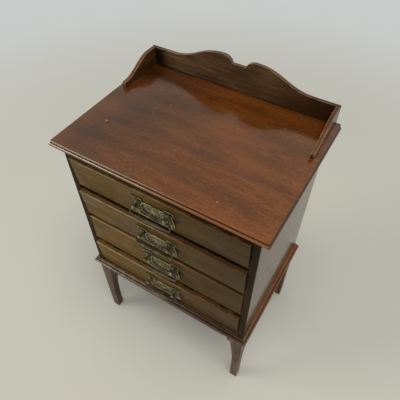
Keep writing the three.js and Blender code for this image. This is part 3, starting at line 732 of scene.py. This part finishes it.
# %% [markdown]
# ## The drawers
# Each drawer is a plain softwood tray behind a polished fall front. The front needs four marks for the
# recipe: the face that takes the dark spot by the handle, a painted shadow on a polish stain; the bead,
# which takes a painted highlight; the top edge where hands pull it; and the groove behind, which takes
# painted shade. They are found in the front's own frame, which leans with it.

# %% Fall fronts and trays
drawer_numbers = sorted(int(name.split("_")[1]) for name in JOINTS if name.endswith("_slide"))
front_arris = 0.0004
bead_radius = 0.0018
groove_band = 0.0012
groove_start = 0.0095
level_enough = 0.95


def front_lean(number):
    """How far a front leans out in the pose that the frame stores."""
    return -math.radians(JOINTS[f"front_{number}_fall"]["range_deg"][0])


def front_frame(number):
    """Turns a point of a front's own frame into the cabinet's."""
    hinge = Vector(JOINTS[f"front_{number}_fall"]["pos_m"])
    return Matrix.Translation(hinge) @ Matrix.Rotation(front_lean(number), 4, "X")


def dress_front(number):
    node = f"drawer_{number}_fall_front"
    piece = rounded(clean_copy(node), front_arris)
    own = front_frame(number).inverted()
    outward = front_frame(number).to_3x3() @ Vector((0, -1, 0))
    points = [own @ vertex.co for vertex in piece.data.vertices]
    top = max(point.z for point in points)
    face = min(point.y for point in points)

    def marker(name, depth, start, end):
        """Marks what lies within a depth of the top, from one distance behind the face to another."""
        def chosen(polygon):
            middle = own @ polygon.center
            return top - middle.z < depth and start <= middle.y - face < end

        mark_faces(piece.data, name, chosen)

    mark_faces(piece.data, "face", lambda polygon: polygon.normal.dot(outward) > level_enough)
    marker("bead", bead_radius, 0, bead_radius)
    marker("edge", groove_band, bead_radius, groove_start)
    marker("groove", 2 * bead_radius, groove_start, math.inf)
    settle(piece, node, woods["front"])


for number in drawer_numbers:
    drawer = f"drawer_{number}_"
    dress_front(number)
    dress([drawer + "bottom"], woods["tray_x"], board_arris)
    dress([drawer + "back"], woods["plain_x"], board_arris)
    dress([drawer + "side_" + side for side in BOTH_SIDES], woods["plain_y"], board_arris)
print("drawers dressed:", drawer_numbers)

# %% [markdown]
# ## Mouldings
# A moulding is one outline run along a path. The outline is drawn out and down from a corner of the wood
# behind it, in arcs, and rings of it are skinned into a closed mesh. Drawing it again here, rather than
# rounding the solid, gives the nose and hollows enough steps to reflect smoothly. Each point of the
# outline also says whether it is a ridge or a hollow, which the marks on the mouldings turn into paler
# ridges and darker hollows.

# %% Outlines in arcs
arc_steps = 12
ON_RIDGE = (1.0, 0.0)
IN_HOLLOW = (0.0, 1.0)
ON_FLAT = (0.0, 0.0)


def arc(out, up, radius_out, radius_up, start, end, kind=ON_FLAT, steps=arc_steps):
    """Points on an arc about a middle, each with its kind. start and end are shares of a half turn."""
    angles = [math.pi * (start + (end - start) * i / steps) for i in range(steps + 1)]
    return [(out + radius_out * math.cos(a), up + radius_up * math.sin(a), kind) for a in angles]


def closed_mesh(name, vertices, faces, angle=sharp_angle):
    """A mesh of closed shells, with its faces turned outwards."""
    mesh = bpy.data.meshes.new(name)
    mesh.from_pydata(vertices, [], faces)
    work = bmesh.new()
    work.from_mesh(mesh)
    bmesh.ops.recalc_face_normals(work, faces=work.faces)
    work.to_mesh(mesh)
    work.free()
    smooth_by_angle(mesh, angle)
    return mesh


def skinned(name, rings, kinds=()):
    """A closed mesh over rings of equal length. kinds gives a ridge and hollow share for each vertex."""
    count = len(rings[0])
    last = (len(rings) - 1) * count
    faces = []
    for start in range(0, last, count):
        for i in range(count):
            a = start + i
            b = start + (i + 1) % count
            faces.append((a, b, b + count, a + count))
    faces.append(tuple(reversed(range(count))))
    faces.append(tuple(range(last, last + count)))
    mesh = closed_mesh(name, [point for ring in rings for point in ring], faces)
    if kinds:
        mark_points(mesh, "ridge", [ridge for ridge, _hollow in kinds])
        mark_points(mesh, "hollow", [hollow for _ridge, hollow in kinds])
    return linked(name, mesh)


print("steps in an arc:", arc_steps)

# %% [markdown]
# ## The top's edge
# Seen from the end, the edge of the top has an eased arris, a shallow hollow, a rolled nose, and a cove
# that runs back under it. Level rings with small rounded corners, one for each point of the outline,
# carry it round the front and both sides, and the back stays plain.

# %% Top board
nose_reach = 0.0036
nose_radius = 0.0042
nose_depth = 0.0105
nose_wear_and_highlight_shares = (0.45, 0.9)
hollow_depth = 0.002
hollow_rise = 0.0022
top_easing = 0.0011
easing_steps = 5
easing_rub_share = 1.2
bed_inset = 0.012
top_corner = 0.0035
corner_steps = 6
level_face = 0.999
top_thick = top_high.z - top_low.z


def rounded_ring(reach, z):
    """A level ring with rounded corners, anticlockwise from the right-hand back corner."""
    low_x = top_low.x - reach + top_corner
    high_x = top_high.x + reach - top_corner
    low_y = top_low.y - reach + top_corner
    high_y = top_high.y - top_corner
    ring = []
    for quarter, (x, y) in enumerate(((high_x, high_y), (low_x, high_y), (low_x, low_y), (high_x, low_y))):
        ring += arc(x, y, top_corner, top_corner, quarter / 2, (quarter + 1) / 2, steps=corner_steps)
    return [(x, y, z) for x, y, _kind in ring]


def top_outline():
    middle = nose_reach - nose_radius
    cove_rise = top_thick - nose_depth - nose_radius
    hollow_middle = nose_radius + hollow_rise - nose_depth
    return (
        arc(middle, -top_thick, bed_inset + middle, cove_rise, 1, 0.5)
        + arc(middle, -nose_depth, nose_radius, nose_radius, -0.5, 0.5)[1:]
        + arc(middle, hollow_middle, hollow_depth, hollow_rise, -0.5, -1.5)[1:]
        + arc(-top_easing, -top_easing, top_easing, top_easing, 0, 0.5, steps=easing_steps)
    )


def top_board():
    rings = [rounded_ring(out - nose_reach, top_high.z + up) for out, up, _kind in top_outline()]
    piece = skinned("moulded_top", rings)
    nose_middle = top_high.z - nose_depth
    nose_low, nose_top = [nose_middle + share * nose_radius for share in nose_wear_and_highlight_shares]
    eased = top_high.z - easing_rub_share * top_easing

    # The arris and the upper part of the nose take the worn tone, with its painted highlight at the left.
    def rubbed(polygon):
        on_arris = polygon.center.z > eased and abs(polygon.normal.z) < level_face
        return on_arris or nose_low < polygon.center.z < nose_top

    # The shallow hollow and the cove under the nose are painted dark as shade.
    def in_painted_shade(polygon):
        return nose_top < polygon.center.z < eased or polygon.center.z < nose_middle - nose_radius

    mark_faces(piece.data, "arris", rubbed)
    mark_faces(piece.data, "hollow", in_painted_shade)
    settle(piece, "top_board", woods["top"])


top_board()
print("top board moulded:", round(top_thick, 4), "thick")

# %% [markdown]
# ## The moulding under the drawers
# Three strips, mitred at the front corners, cover the edge of the base board. From the top their outline
# has a fillet, a quarter round, a half-round nose and a hollow. Each mitre is one ring of the outline
# that lies at 45 degrees, because a point that stands further out also stands further forward.

# %% Base moulding
fillet_rise = 0.001
fillet_reach = 0.003
ovolo_reach = 0.004
ovolo_rise = 0.0032
strip_nose = 0.0036
small_arc_steps = 8

strip_low, strip_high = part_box("base_moulding_front")
base_reach = strip_high.x - case_high.x
base_height = strip_high.z - strip_low.z
glue_gap = case_low.y - strip_high.y


def base_outline():
    nose_middle = base_reach - strip_nose
    nose_back = nose_middle - fillet_rise
    nose_top = -fillet_rise - ovolo_rise
    nose_foot = nose_top - 2 * strip_nose
    cove_reach = nose_back - fillet_reach
    cove_rise = base_height + nose_foot - ovolo_rise
    return (
        [(glue_gap, 0, ON_FLAT), (fillet_reach, 0, ON_RIDGE), (fillet_reach, -fillet_rise, IN_HOLLOW)]
        + arc(fillet_reach, nose_top, ovolo_reach, ovolo_rise, 0.5, 0, ON_RIDGE, small_arc_steps)[1:-1]
        + [(fillet_reach + ovolo_reach, nose_top, IN_HOLLOW), (nose_back, nose_top, IN_HOLLOW)]
        + arc(nose_middle, nose_top - strip_nose, strip_nose, strip_nose, 0.5, -0.5, ON_RIDGE)
        + [(nose_back, nose_foot, IN_HOLLOW)]
        + arc(nose_back, nose_foot - cove_rise, cove_reach, cove_rise, 0.5, 1, IN_HOLLOW, small_arc_steps)[1:]
        + [(fillet_reach, -base_height, ON_FLAT), (glue_gap, -base_height, ON_FLAT)]
    )


def base_mouldings():
    outline = base_outline()
    kinds = [kind for _out, _up, kind in outline] * 2

    def ring(side, y, forward):
        """The outline at one end of a strip. forward is 1 at a mitre and 0 at a square end."""
        return [(side * (case_high.x + out), y - forward * out, case_high.z + up)
                for out, up, _kind in outline]

    front = [ring(side, case_low.y, 1) for side in (-1, 1)]
    settle(skinned("front_moulding", front, kinds), "base_moulding_front", woods["strip_x"])
    for side, word in zip((-1, 1), BOTH_SIDES):
        ends = [ring(side, case_low.y + glue_gap, 1), ring(side, case_high.y, 0)]
        settle(skinned(word + "_moulding", ends, kinds), "base_moulding_" + word, woods["strip_y"])


base_mouldings()
print("mouldings run:", round(base_reach, 4), "out and", round(base_height, 4), "high")

# %% [markdown]
# ## Handle plates
# A cast backplate is a flat sheet with an outline of ears and scrolls, a raised rim that follows the
# outline, and ornament on a sunk ground. Its outline is drawn once, half and mirrored, from the middle of
# its foot, out past a small lobe, up the scrolled side to the ear, and back along the brow to the crest.

# %% Plate outline
plate_low, plate_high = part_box("drawer_3_handle_plate")
plate_half_width = plate_high.x
plate_rise = plate_high.z - handle_height
plate_drop = handle_height - plate_low.z
plate_foot_share = 1.06
plate_lobe_shares = (0.5, 0.79)
plate_side_shares = ((0.88, -0.98), (0.95, -0.78), (0.94, -0.52), (0.9, -0.28), (0.88, -0.07), (0.94, 0.4))
plate_ear_share = 0.86
plate_ear_inner_share = 0.5
plate_brow_share = 0.5
plate_brow_in_share = 0.42
plate_crest_share = 0.6
foot_steps = 20
curve_steps = 6
ear_steps = 40
brow_steps = 8
crest_steps = 14


def bent(a, b, c, steps):
    """Points after the first on a curve from a to c that leans towards b."""
    shares = [i / steps for i in range(1, steps + 1)]
    return [a * (1 - t) ** 2 + b * 2 * t * (1 - t) + c * t ** 2 for t in shares]


def through(points, steps):
    """Points after the first on a smooth curve through all the given ones."""
    padded = [2 * points[0] - points[1]] + list(points) + [2 * points[-1] - points[-2]]
    found = []
    for before, start, end, after in zip(padded, padded[1:], padded[2:], padded[3:]):
        for t in (i / steps for i in range(1, steps + 1)):
            found.append(0.5 * (2 * start + (end - before) * t
                                + (2 * before - 5 * start + 4 * end - after) * t ** 2
                                + (3 * start - before - 3 * end + after) * t ** 3))
    return found


def plate_outline():
    width, rise, drop = plate_half_width, plate_rise, plate_drop
    bend, lobe = plate_lobe_shares
    foot = -drop * plate_foot_share
    path = [Vector((0, foot))]
    path += bent(path[0], Vector((width * bend, foot)), Vector((width * lobe, -drop)), foot_steps)
    sides = [Vector((width * out, up * (rise if up > 0 else drop))) for out, up in plate_side_shares]
    path += through([path[-1]] + sides, curve_steps)
    ear = [Vector((width, rise * plate_ear_share)), Vector((width, rise)),
           Vector((width * plate_ear_inner_share, rise))]
    for corner in ear:
        start = path[-1]
        count = max(1, round((corner - start).length * ear_steps / width))
        path += [start.lerp(corner, (i + 1) / count) for i in range(count)]
    brow = Vector((width * plate_brow_in_share, rise * plate_brow_share))
    path += bent(path[-1], Vector((width * plate_ear_inner_share, rise * plate_brow_share)), brow, brow_steps)
    path += bent(path[-1], Vector((brow.x / 2, brow.y)), Vector((0, rise * plate_crest_share)), crest_steps)
    return path + [Vector((-point.x, point.y)) for point in reversed(path[1:-1])]


plate_edge = plate_outline()
print("points round the plate:", len(plate_edge))

# %% [markdown]
# ## The plate's ornament
# The ornament is a height for every point of the plate, the highest of several simple fields: distance
# to the edge makes the rim, a rounded oblong the inner frame, waves round a point a volute or a ring of
# leaves, and an oval dome the boss. The brass is coloured by the same heights.

# %% Plate relief
ground_level = 0.0019
edge_level = 0.0014
relief_depth = 0.0014
boss_rise = 0.003
rim_middle = 0.0015
rim_half = 0.0013
volute_pitch = 0.0042
flute_pitch = 0.0052
leaf_count = 16
petal_count = 10
plate_middle = (plate_rise - plate_drop) / 2
plate_half_height = (plate_rise + plate_drop) / 2
boss_middle_share = 0.11
boss_half_shares = (0.3, 0.325)
frame_half_shares = (0.6, 0.64)
frame_drop_share = 0.05
frame_line_shares = (1.0, 0.07, 0.75)
ring_line_shares = (1.08, 0.09, 0.8)
leaf_band_shares = (1.42, 0.34)
leaf_wave_shares = (0.45, 0.4)
volute_shares = ((0.8, -0.66, 0.15), (0.83, 0.5, 0.12), (0.34, 0.72, 0.08))
volute_wave_shares = (0.55, 0.45)
flute_band_shares = (0.74, 0.1, 0.3)
flute_length_share = 0.5
petal_band_shares = (0.7, 0.4)
petal_depth_share = 0.12
rubbed_shares = (0.1, 0.75, 0.45)
plate_ring = np.array([tuple(point) for point in plate_edge])


def hump(value, middle, half, high=1.0):
    """High at the middle, falling smoothly to 0 half a width away."""
    share = np.clip(1 - np.abs(value - middle) / half, 0, 1)
    return high * share * share * (3 - 2 * share)


def waved(shares, angle):
    """A wave about a level, where shares gives the level and the height."""
    return shares[0] + shares[1] * np.cos(angle)


def edge_distance(points):
    """How far each point lies from the plate's outline."""
    nearest = np.full(len(points), np.inf)
    for start, end in zip(plate_ring, np.roll(plate_ring, -1, axis=0)):
        along = end - start
        share = np.clip(((points - start) @ along) / (along @ along), 0, 1)
        nearest = np.minimum(nearest, np.linalg.norm(points - start - share[:, None] * along, axis=1))
    return nearest


def volute(u, v, out, up, reach):
    """A spiral about one place, the same in both halves."""
    across = (np.abs(u) - out) * plate_half_width
    upward = (v - up) * plate_half_height
    radius = np.hypot(across, upward)
    turn = 2 * math.pi * radius / volute_pitch - np.arctan2(upward, across)
    return hump(radius / plate_half_width, 0.0, reach) * waved(volute_wave_shares, turn)


def plate_relief(points):
    """The height of the casting over the front's face, and how rubbed or in painted shade it is, per point.
    """
    u = points[:, 0] / plate_half_width
    v = (points[:, 1] - plate_middle) / plate_half_height
    edge = edge_distance(points)
    from_boss = np.hypot(u / boss_half_shares[0], (v - boss_middle_share) / boss_half_shares[1])
    frame_v = (v + frame_drop_share) / frame_half_shares[1]
    from_frame = ((u / frame_half_shares[0]) ** 4 + frame_v ** 4) ** 0.25
    around = np.arctan2(v - boss_middle_share, u)
    leaves = hump(from_boss, *leaf_band_shares) * waved(leaf_wave_shares, leaf_count * around)
    flutes = hump(np.abs(u), *flute_band_shares) * np.cos(points[:, 0] * 2 * math.pi / flute_pitch)
    fields = [volute(u, v, *place) for place in volute_shares]
    fields.append(hump(edge, rim_middle, rim_half))
    fields.append(hump(from_frame, *frame_line_shares))
    fields.append(hump(from_boss, *ring_line_shares))
    fields.append(leaves * (from_frame < 1.0))
    fields.append(flutes * (np.abs(v - frame_drop_share) < flute_length_share))
    raised = np.maximum.reduce(fields)
    dome = boss_rise * np.sqrt(np.clip(1 - from_boss ** 2, 0, 1))
    petals = (0.5 - 0.5 * np.cos(petal_count * around)) * hump(from_boss, *petal_band_shares)
    dome *= 1 - petal_depth_share * petals
    height = ground_level + relief_depth * raised + dome
    height = np.where(edge < rim_half / 4, np.minimum(height, edge_level + relief_depth * 0.4), height)
    least, on_lines, on_boss = rubbed_shares
    rubbed = least + on_lines * raised + on_boss * dome / boss_rise
    # Near the outline the level is lowered: a painted shade along the plate's edge.
    return height, np.clip(rubbed * np.clip(edge / rim_half, 0.3, 1), 0, 1)


print("leaves round the boss:", leaf_count)

# %% [markdown]
# ## Casting the plate
# A grid of points fills the outline, a triangulation joins them, and the relief lifts them. A flat back
# and a narrow wall close the shell. It stands just clear of the wood, as the solid does.

# %% Plate casting
plate_gap = 0.0003
grid_step = 0.0011
row_share = 0.87
clear_share = 0.45
wall_rubbed = 0.1


def inside_plate(points):
    """Which points lie inside the plate's outline."""
    inside = np.zeros(len(points), bool)
    for start, end in zip(plate_ring, np.roll(plate_ring, -1, axis=0)):
        crosses = (start[1] > points[:, 1]) != (end[1] > points[:, 1])
        rise = end[1] - start[1] if end[1] != start[1] else 1.0
        meets = start[0] + (points[:, 1] - start[1]) * (end[0] - start[0]) / rise
        inside ^= crosses & (points[:, 0] < meets)
    return inside


def plate_grid():
    """Points in staggered rows inside the outline, none of them close to it."""
    columns = np.arange(-plate_half_width, plate_half_width, grid_step)
    rows = np.arange(-plate_drop * plate_foot_share, plate_rise, grid_step * row_share)
    grid = np.array([(x + (j % 2) * grid_step / 2, z) for j, z in enumerate(rows) for x in columns])
    grid = grid[inside_plate(grid)]
    return grid[edge_distance(grid) > grid_step * clear_share]


def plate_shell():
    """Vertices, faces and rubbed levels of one plate in its own frame: x across, y into the wood, z up."""
    count = len(plate_edge)
    flat = plate_edge + [Vector(tuple(point)) for point in plate_grid()]
    points, _edges, faces, *_sources = delaunay_2d_cdt(flat, [], [list(range(count))], 1, merge_distance)
    places = np.array([tuple(point) for point in points])
    height, rubbed = plate_relief(places)
    front = [(x, -level, z) for (x, z), level in zip(places, height)]
    start = len(front)
    back = [(point.x, -plate_gap, point.y) for point in plate_edge]
    nearest = [int(np.argmin(np.abs(places - corner).sum(axis=1))) for corner in plate_ring]
    shell_faces = [tuple(face) for face in faces]
    for i in range(count):
        j = (i + 1) % count
        shell_faces.append((nearest[i], nearest[j], start + j, start + i))
    shell_faces.append(tuple(range(start, start + count)))
    return front + back, shell_faces, list(rubbed) + [wall_rubbed] * count


plate_parts = plate_shell()
print("plate casting:", len(plate_parts[0]), "points and", len(plate_parts[1]), "faces")

# %% [markdown]
# ## Turned posts
# The bail hangs from two turned posts screwed through the plate: a rose against the plate, a waisted stem
# with a collar, and a ball bored through for the end of the bail. Each is one profile spun round its own
# axis, and the bore is cut with a Boolean modifier, so the pin of the bail really sits in a hole.

# %% Posts
post_spacing = 0.081
post_reach = 0.0175
ball_radius = 0.0052
bore_radius = 0.0019
rose_radius = 0.0065
stem_radius = 0.0027
collar_radius = 0.0040
tip_radius = 0.0021
tip_length = 0.0009
neck_share = 0.55
rose_shares = ((1.0, 1.0), (1.15, 0.93), (1.25, 0.7), (1.55, 0.62))
stem_shares = ((1.8, 1.15), (2.3, 1.0))
stem_end_share = 0.8
collar_shares = ((0.65, 0.9), (0.45, 1.0), (0.25, 0.9))
collar_end_share = 0.12
tip_shares = ((0.7, 0.95), (1.0, 0.6))
post_rubbed = 0.2
ball_rubbed = 0.35
turning_sides = 28


def post_profile():
    """Distance out from the front's face and radius, from the rose to the tip of the ball."""
    rose_face = ground_level + relief_depth
    ball_angle = math.asin(neck_share)
    tip_angle = math.pi - math.asin(tip_radius / ball_radius)
    ball_start = post_reach - ball_radius * math.cos(ball_angle)
    profile = [(ground_level / 2, rose_radius)]
    profile += [(rose_face * out, rose_radius * wide) for out, wide in rose_shares]
    profile += [(rose_face * out, stem_radius * wide) for out, wide in stem_shares]
    profile.append((ball_start - collar_radius * stem_end_share, stem_radius))
    profile += [(ball_start - collar_radius * back, collar_radius * wide) for back, wide in collar_shares]
    profile.append((ball_start - collar_radius * collar_end_share, ball_radius * neck_share))
    ball = arc(post_reach, 0, -ball_radius, ball_radius, ball_angle / math.pi, tip_angle / math.pi)
    profile += [(out, radius) for out, radius, _kind in ball]
    end = profile[-1][0]
    return profile + [(end + tip_length * out, tip_radius * wide) for out, wide in tip_shares]


def turned(radius):
    """A circle about the origin, as pairs."""
    return [(a, b) for a, b, _kind in arc(0, 0, radius, radius, 0, 2, steps=turning_sides)[:-1]]


def bored_post(side):
    """One post with the hole that takes the end of the bail."""
    middle = side * post_spacing / 2
    rings = [[(middle + x, -out, z) for x, z in turned(radius)] for out, radius in post_profile()]
    post = skinned("post", rings)
    reaches = (middle - 2 * ball_radius, middle + 2 * ball_radius)
    drill = skinned("drill", [[(x, y - post_reach, z) for y, z in turned(bore_radius)] for x in reaches])
    cut = post.modifiers.new("bore", "BOOLEAN")
    cut.operation = "DIFFERENCE"
    cut.solver = "EXACT"
    cut.object = drill
    mesh = applied(post)
    vertices = [tuple(vertex.co) for vertex in mesh.vertices]
    faces = [tuple(polygon.vertices) for polygon in mesh.polygons]
    for spare in (post, drill):
        bpy.data.objects.remove(spare)
    past_middle = [min(1.0, max(0.0, (-y - post_reach) / ball_radius)) for _x, y, _z in vertices]
    return vertices, faces, [post_rubbed + ball_rubbed * share for share in past_middle]


post_parts = [bored_post(side) for side in (-1, 1)]
print("posts turned:", [len(part[0]) for part in post_parts])

# %% [markdown]
# ## Setting the plates on the fronts
# Plate and posts become one casting, as the screws make them on the real handle. It is drawn in the
# handle's own frame and laid on each front, at that front's lean.

# %% Handle castings
cast_angle = math.radians(50)


def assembled(name, shells):
    """One mesh of several closed shells, with its rubbed levels."""
    vertices = []
    faces = []
    levels = []
    for shell_vertices, shell_faces, shell_levels in shells:
        start = len(vertices)
        vertices += shell_vertices
        faces += [tuple(start + index for index in face) for face in shell_faces]
        levels += shell_levels
    mesh = closed_mesh(name, vertices, faces, cast_angle)
    mark_points(mesh, "high", levels)
    return mesh


def handle_frame(number):
    """Turns a point of a handle's own frame, about the bail's axis on the face, into the cabinet's."""
    lean = front_lean(number)
    outward = Vector((0, -math.cos(lean), -math.sin(lean)))
    axis = Vector(JOINTS[f"bail_{number}_swing"]["pos_m"])
    return Matrix.Translation(axis - outward * post_reach) @ Matrix.Rotation(lean, 4, "X")


for number in drawer_numbers:
    casting = assembled(f"handle_casting_{number}", [plate_parts] + post_parts)
    casting.transform(handle_frame(number))
    settle(linked(casting.name, casting), f"drawer_{number}_handle_plate", cast_brass)
print("plates set:", len(drawer_numbers))

# %% [markdown]
# ## Bails
# A bail is a bar bent along a path: straight pins that enter the posts, arms that splay, and a grip that
# swells in the middle. A shape that follows a path is what Geometry Nodes sweep well. The tree takes the
# path as a line of points, works the bar's thickness out from how far along it each point is, and sweeps
# a flattened circle. The thicknesses and the places where they change are named inputs of the tree.

# %% Geometry Nodes helper
SOCKET_KINDS = {float: "NodeSocketFloat", int: "NodeSocketInt", tuple: "NodeSocketRotation"}


class Tree(Nodes):
    """A Geometry Nodes tree with named inputs."""

    def __init__(self, name, inputs):
        self.group = bpy.data.node_groups.new(name, "GeometryNodeTree")
        super().__init__(self.group)
        new_socket = self.group.interface.new_socket
        for way in ("INPUT", "OUTPUT"):
            new_socket("Geometry", in_out=way, socket_type="NodeSocketGeometry")
        self.values = {}
        for word, value in inputs.items():
            socket = new_socket(word, in_out="INPUT", socket_type=SOCKET_KINDS[type(value)])
            self.values[word] = (socket.identifier, value)
        self.given = self.node("NodeGroupInput")

    def finish(self, geometry, rubbed, material):
        """Ends the tree in real, smooth geometry with its rubbed level and material."""
        real = self.node("GeometryNodeRealizeInstances", {"Geometry": geometry})[0]
        level = {"Geometry": real, "Name": "high", "Value": rubbed}
        marked = self.node("GeometryNodeStoreNamedAttribute", level, data_type="FLOAT", domain="POINT")
        smooth = self.node("GeometryNodeSetShadeSmooth", {"Geometry": marked[0]})[0]
        dressed = self.node("GeometryNodeSetMaterial", {"Geometry": smooth, "Material": material})[0]
        self.node("NodeGroupOutput", {0: dressed})

    def grown(self, name, vertices, edges=(), changed=()):
        """The plain mesh that the tree makes of some points, as a new object."""
        seed = bpy.data.meshes.new(name + "_points")
        seed.from_pydata(vertices, list(edges), [])
        carrier = linked(name + "_points", seed)
        modifier = carrier.modifiers.new(self.group.name, "NODES")
        modifier.node_group = self.group
        for word, (identifier, value) in self.values.items():
            modifier[identifier] = dict(changed).get(word, value)
        mesh = applied(carrier)
        bpy.data.objects.remove(carrier)
        mesh.name = name
        return linked(name, mesh)


print("kinds of input:", sorted(SOCKET_KINDS.values()))

# %% The bail tree
BAR_SIZES = {"End Radius": 0.0015, "Arm Radius": 0.0023, "Grip Radius": 0.0047, "Flatness": 0.68,
             "Sides": 20, "Arm Start": 0.045, "Arm Full": 0.085, "Grip Start": 0.2, "Grip Full": 0.42}
bail_rubbed = 0.38


def bail_tree():
    tree = Tree("bent_bar", BAR_SIZES)
    given = tree.given
    path = tree.node("GeometryNodeMeshToCurve", {"Mesh": given["Geometry"]})[0]
    upright = tree.node("GeometryNodeSetCurveNormal", {"Curve": path})[0]
    along = tree.node("GeometryNodeSplineParameter")["Factor"]
    from_end = tree.maths("MINIMUM", along, tree.maths("SUBTRACT", 1.0, along))
    thick = given["Arm Radius"]
    arm = tree.between(from_end, given["Arm Start"], given["Arm Full"], given["End Radius"], thick)
    swell = tree.maths("SUBTRACT", given["Grip Radius"], thick)
    grip = tree.between(from_end, given["Grip Start"], given["Grip Full"], 0.0, swell)
    radius = tree.maths("ADD", arm, grip)
    circle = tree.node("GeometryNodeCurvePrimitiveCircle", {"Resolution": given["Sides"], "Radius": 1.0})
    squeeze = tree.node("ShaderNodeCombineXYZ", {"X": 1.0, "Y": given["Flatness"], "Z": 1.0})[0]
    section = tree.node("GeometryNodeTransform", {"Geometry": circle[0], "Scale": squeeze})[0]
    sweep = {"Curve": upright, "Profile Curve": section, "Scale": radius, "Fill Caps": True}
    tree.finish(tree.node("GeometryNodeCurveToMesh", sweep)[0], bail_rubbed, bail_brass)
    return tree


bar_tree = bail_tree()
print("inputs of the bail tree:", sorted(bar_tree.values))

# %% Bending the bails
bail_half_width = 0.053
bail_drop = 0.0295
bail_sag = 0.0015
bail_pin_reach = 0.003
bail_shoulder = 0.0015
bail_side_shares = ((0.93, 0.12), (0.97, 0.42), (1.0, 0.76), (0.92, 0.97))
bail_sag_shares = (0.5, 0.45)


def bail_path():
    """The middle line of a bail about its axis, from the left pin round to the right one."""
    head_edge = post_spacing / 2 + ball_radius
    sag_out, sag_down = bail_sag_shares
    half = [Vector((head_edge, 0)), Vector((head_edge + bail_shoulder, 0))]
    half += [Vector((bail_half_width * out, -bail_drop * down)) for out, down in bail_side_shares]
    half.append(Vector((bail_half_width * sag_out, -bail_drop - bail_sag * sag_down)))
    whole = half + [Vector((0, -bail_drop - bail_sag))] + [Vector((-p.x, p.y)) for p in reversed(half)]
    pin = Vector((post_spacing / 2 - bail_pin_reach, 0))
    return [pin, whole[0]] + through(whole, curve_steps) + [Vector((-pin.x, 0))]


for number in drawer_numbers:
    axis = Vector(JOINTS[f"bail_{number}_swing"]["pos_m"])
    points = [(axis.x + p.x, axis.y, axis.z + p.y) for p in bail_path()]
    joins = [(i, i + 1) for i in range(len(points) - 1)]
    bar = bar_tree.grown(f"bent_bail_{number}", points, joins)
    settle(bar, f"drawer_{number}_bail", bail_brass)
    print("bail", number, "faces:", len(bar.data.polygons))

# %% [markdown]
# ## Small heads
# Round-headed pins hold the lower lobes of each plate. They all repeat, so one tree puts a low dome on
# every point that it is given. The domes face the way that the tree's turn says, because the fronts lean.

# %% The dome tree
HEAD_SIZES = {"Head Radius": 0.0016, "Height Share": 0.5, "Turn": (0.0, 0.0, 0.0)}
head_segments = 16
head_rings = 10
head_rubbed = 0.45


def head_tree():
    tree = Tree("domed_heads", HEAD_SIZES)
    given = tree.given
    ball = tree.node("GeometryNodeMeshUVSphere", {
        "Segments": head_segments, "Rings": head_rings, "Radius": given["Head Radius"]})["Mesh"]
    low = tree.node("ShaderNodeCombineXYZ", {"X": 1.0, "Y": given["Height Share"], "Z": 1.0})[0]
    heads = tree.node("GeometryNodeInstanceOnPoints", {
        "Points": given["Geometry"], "Instance": ball, "Rotation": given["Turn"], "Scale": low})
    tree.finish(heads[0], head_rubbed, cast_brass)
    return tree


dome_tree = head_tree()
print("inputs of the dome tree:", sorted(dome_tree.values))

# %% Pins in the plates
pin_place_share = 0.8
pin_level_share = -0.8

for number in drawer_numbers:
    places = [Vector((side * plate_half_width * pin_place_share, -ground_level, plate_drop * pin_level_share))
              for side in (-1, 1)]
    spots = [tuple(handle_frame(number) @ place) for place in places]
    turn = (front_lean(number), 0.0, 0.0)
    heads = dome_tree.grown(f"plate_pins_{number}", spots, changed={"Turn": turn})
    heads.data.materials.clear()
    heads.data.materials.append(cast_brass)
    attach(heads, f"front_{number}")
print("pins set in", len(drawer_numbers), "plates")

# %% [markdown]
# ## Pivots
# The small plates that the fronts turn on are plain strip brass, so they only need their arrises eased.

# %% Pivot plates and finish
strap_arris = 0.0002

for number in drawer_numbers:
    dress([f"drawer_{number}_pivot_{side}" for side in BOTH_SIDES], strip_brass, strap_arris)

print("pivot plates:", len(BOTH_SIDES) * len(drawer_numbers))
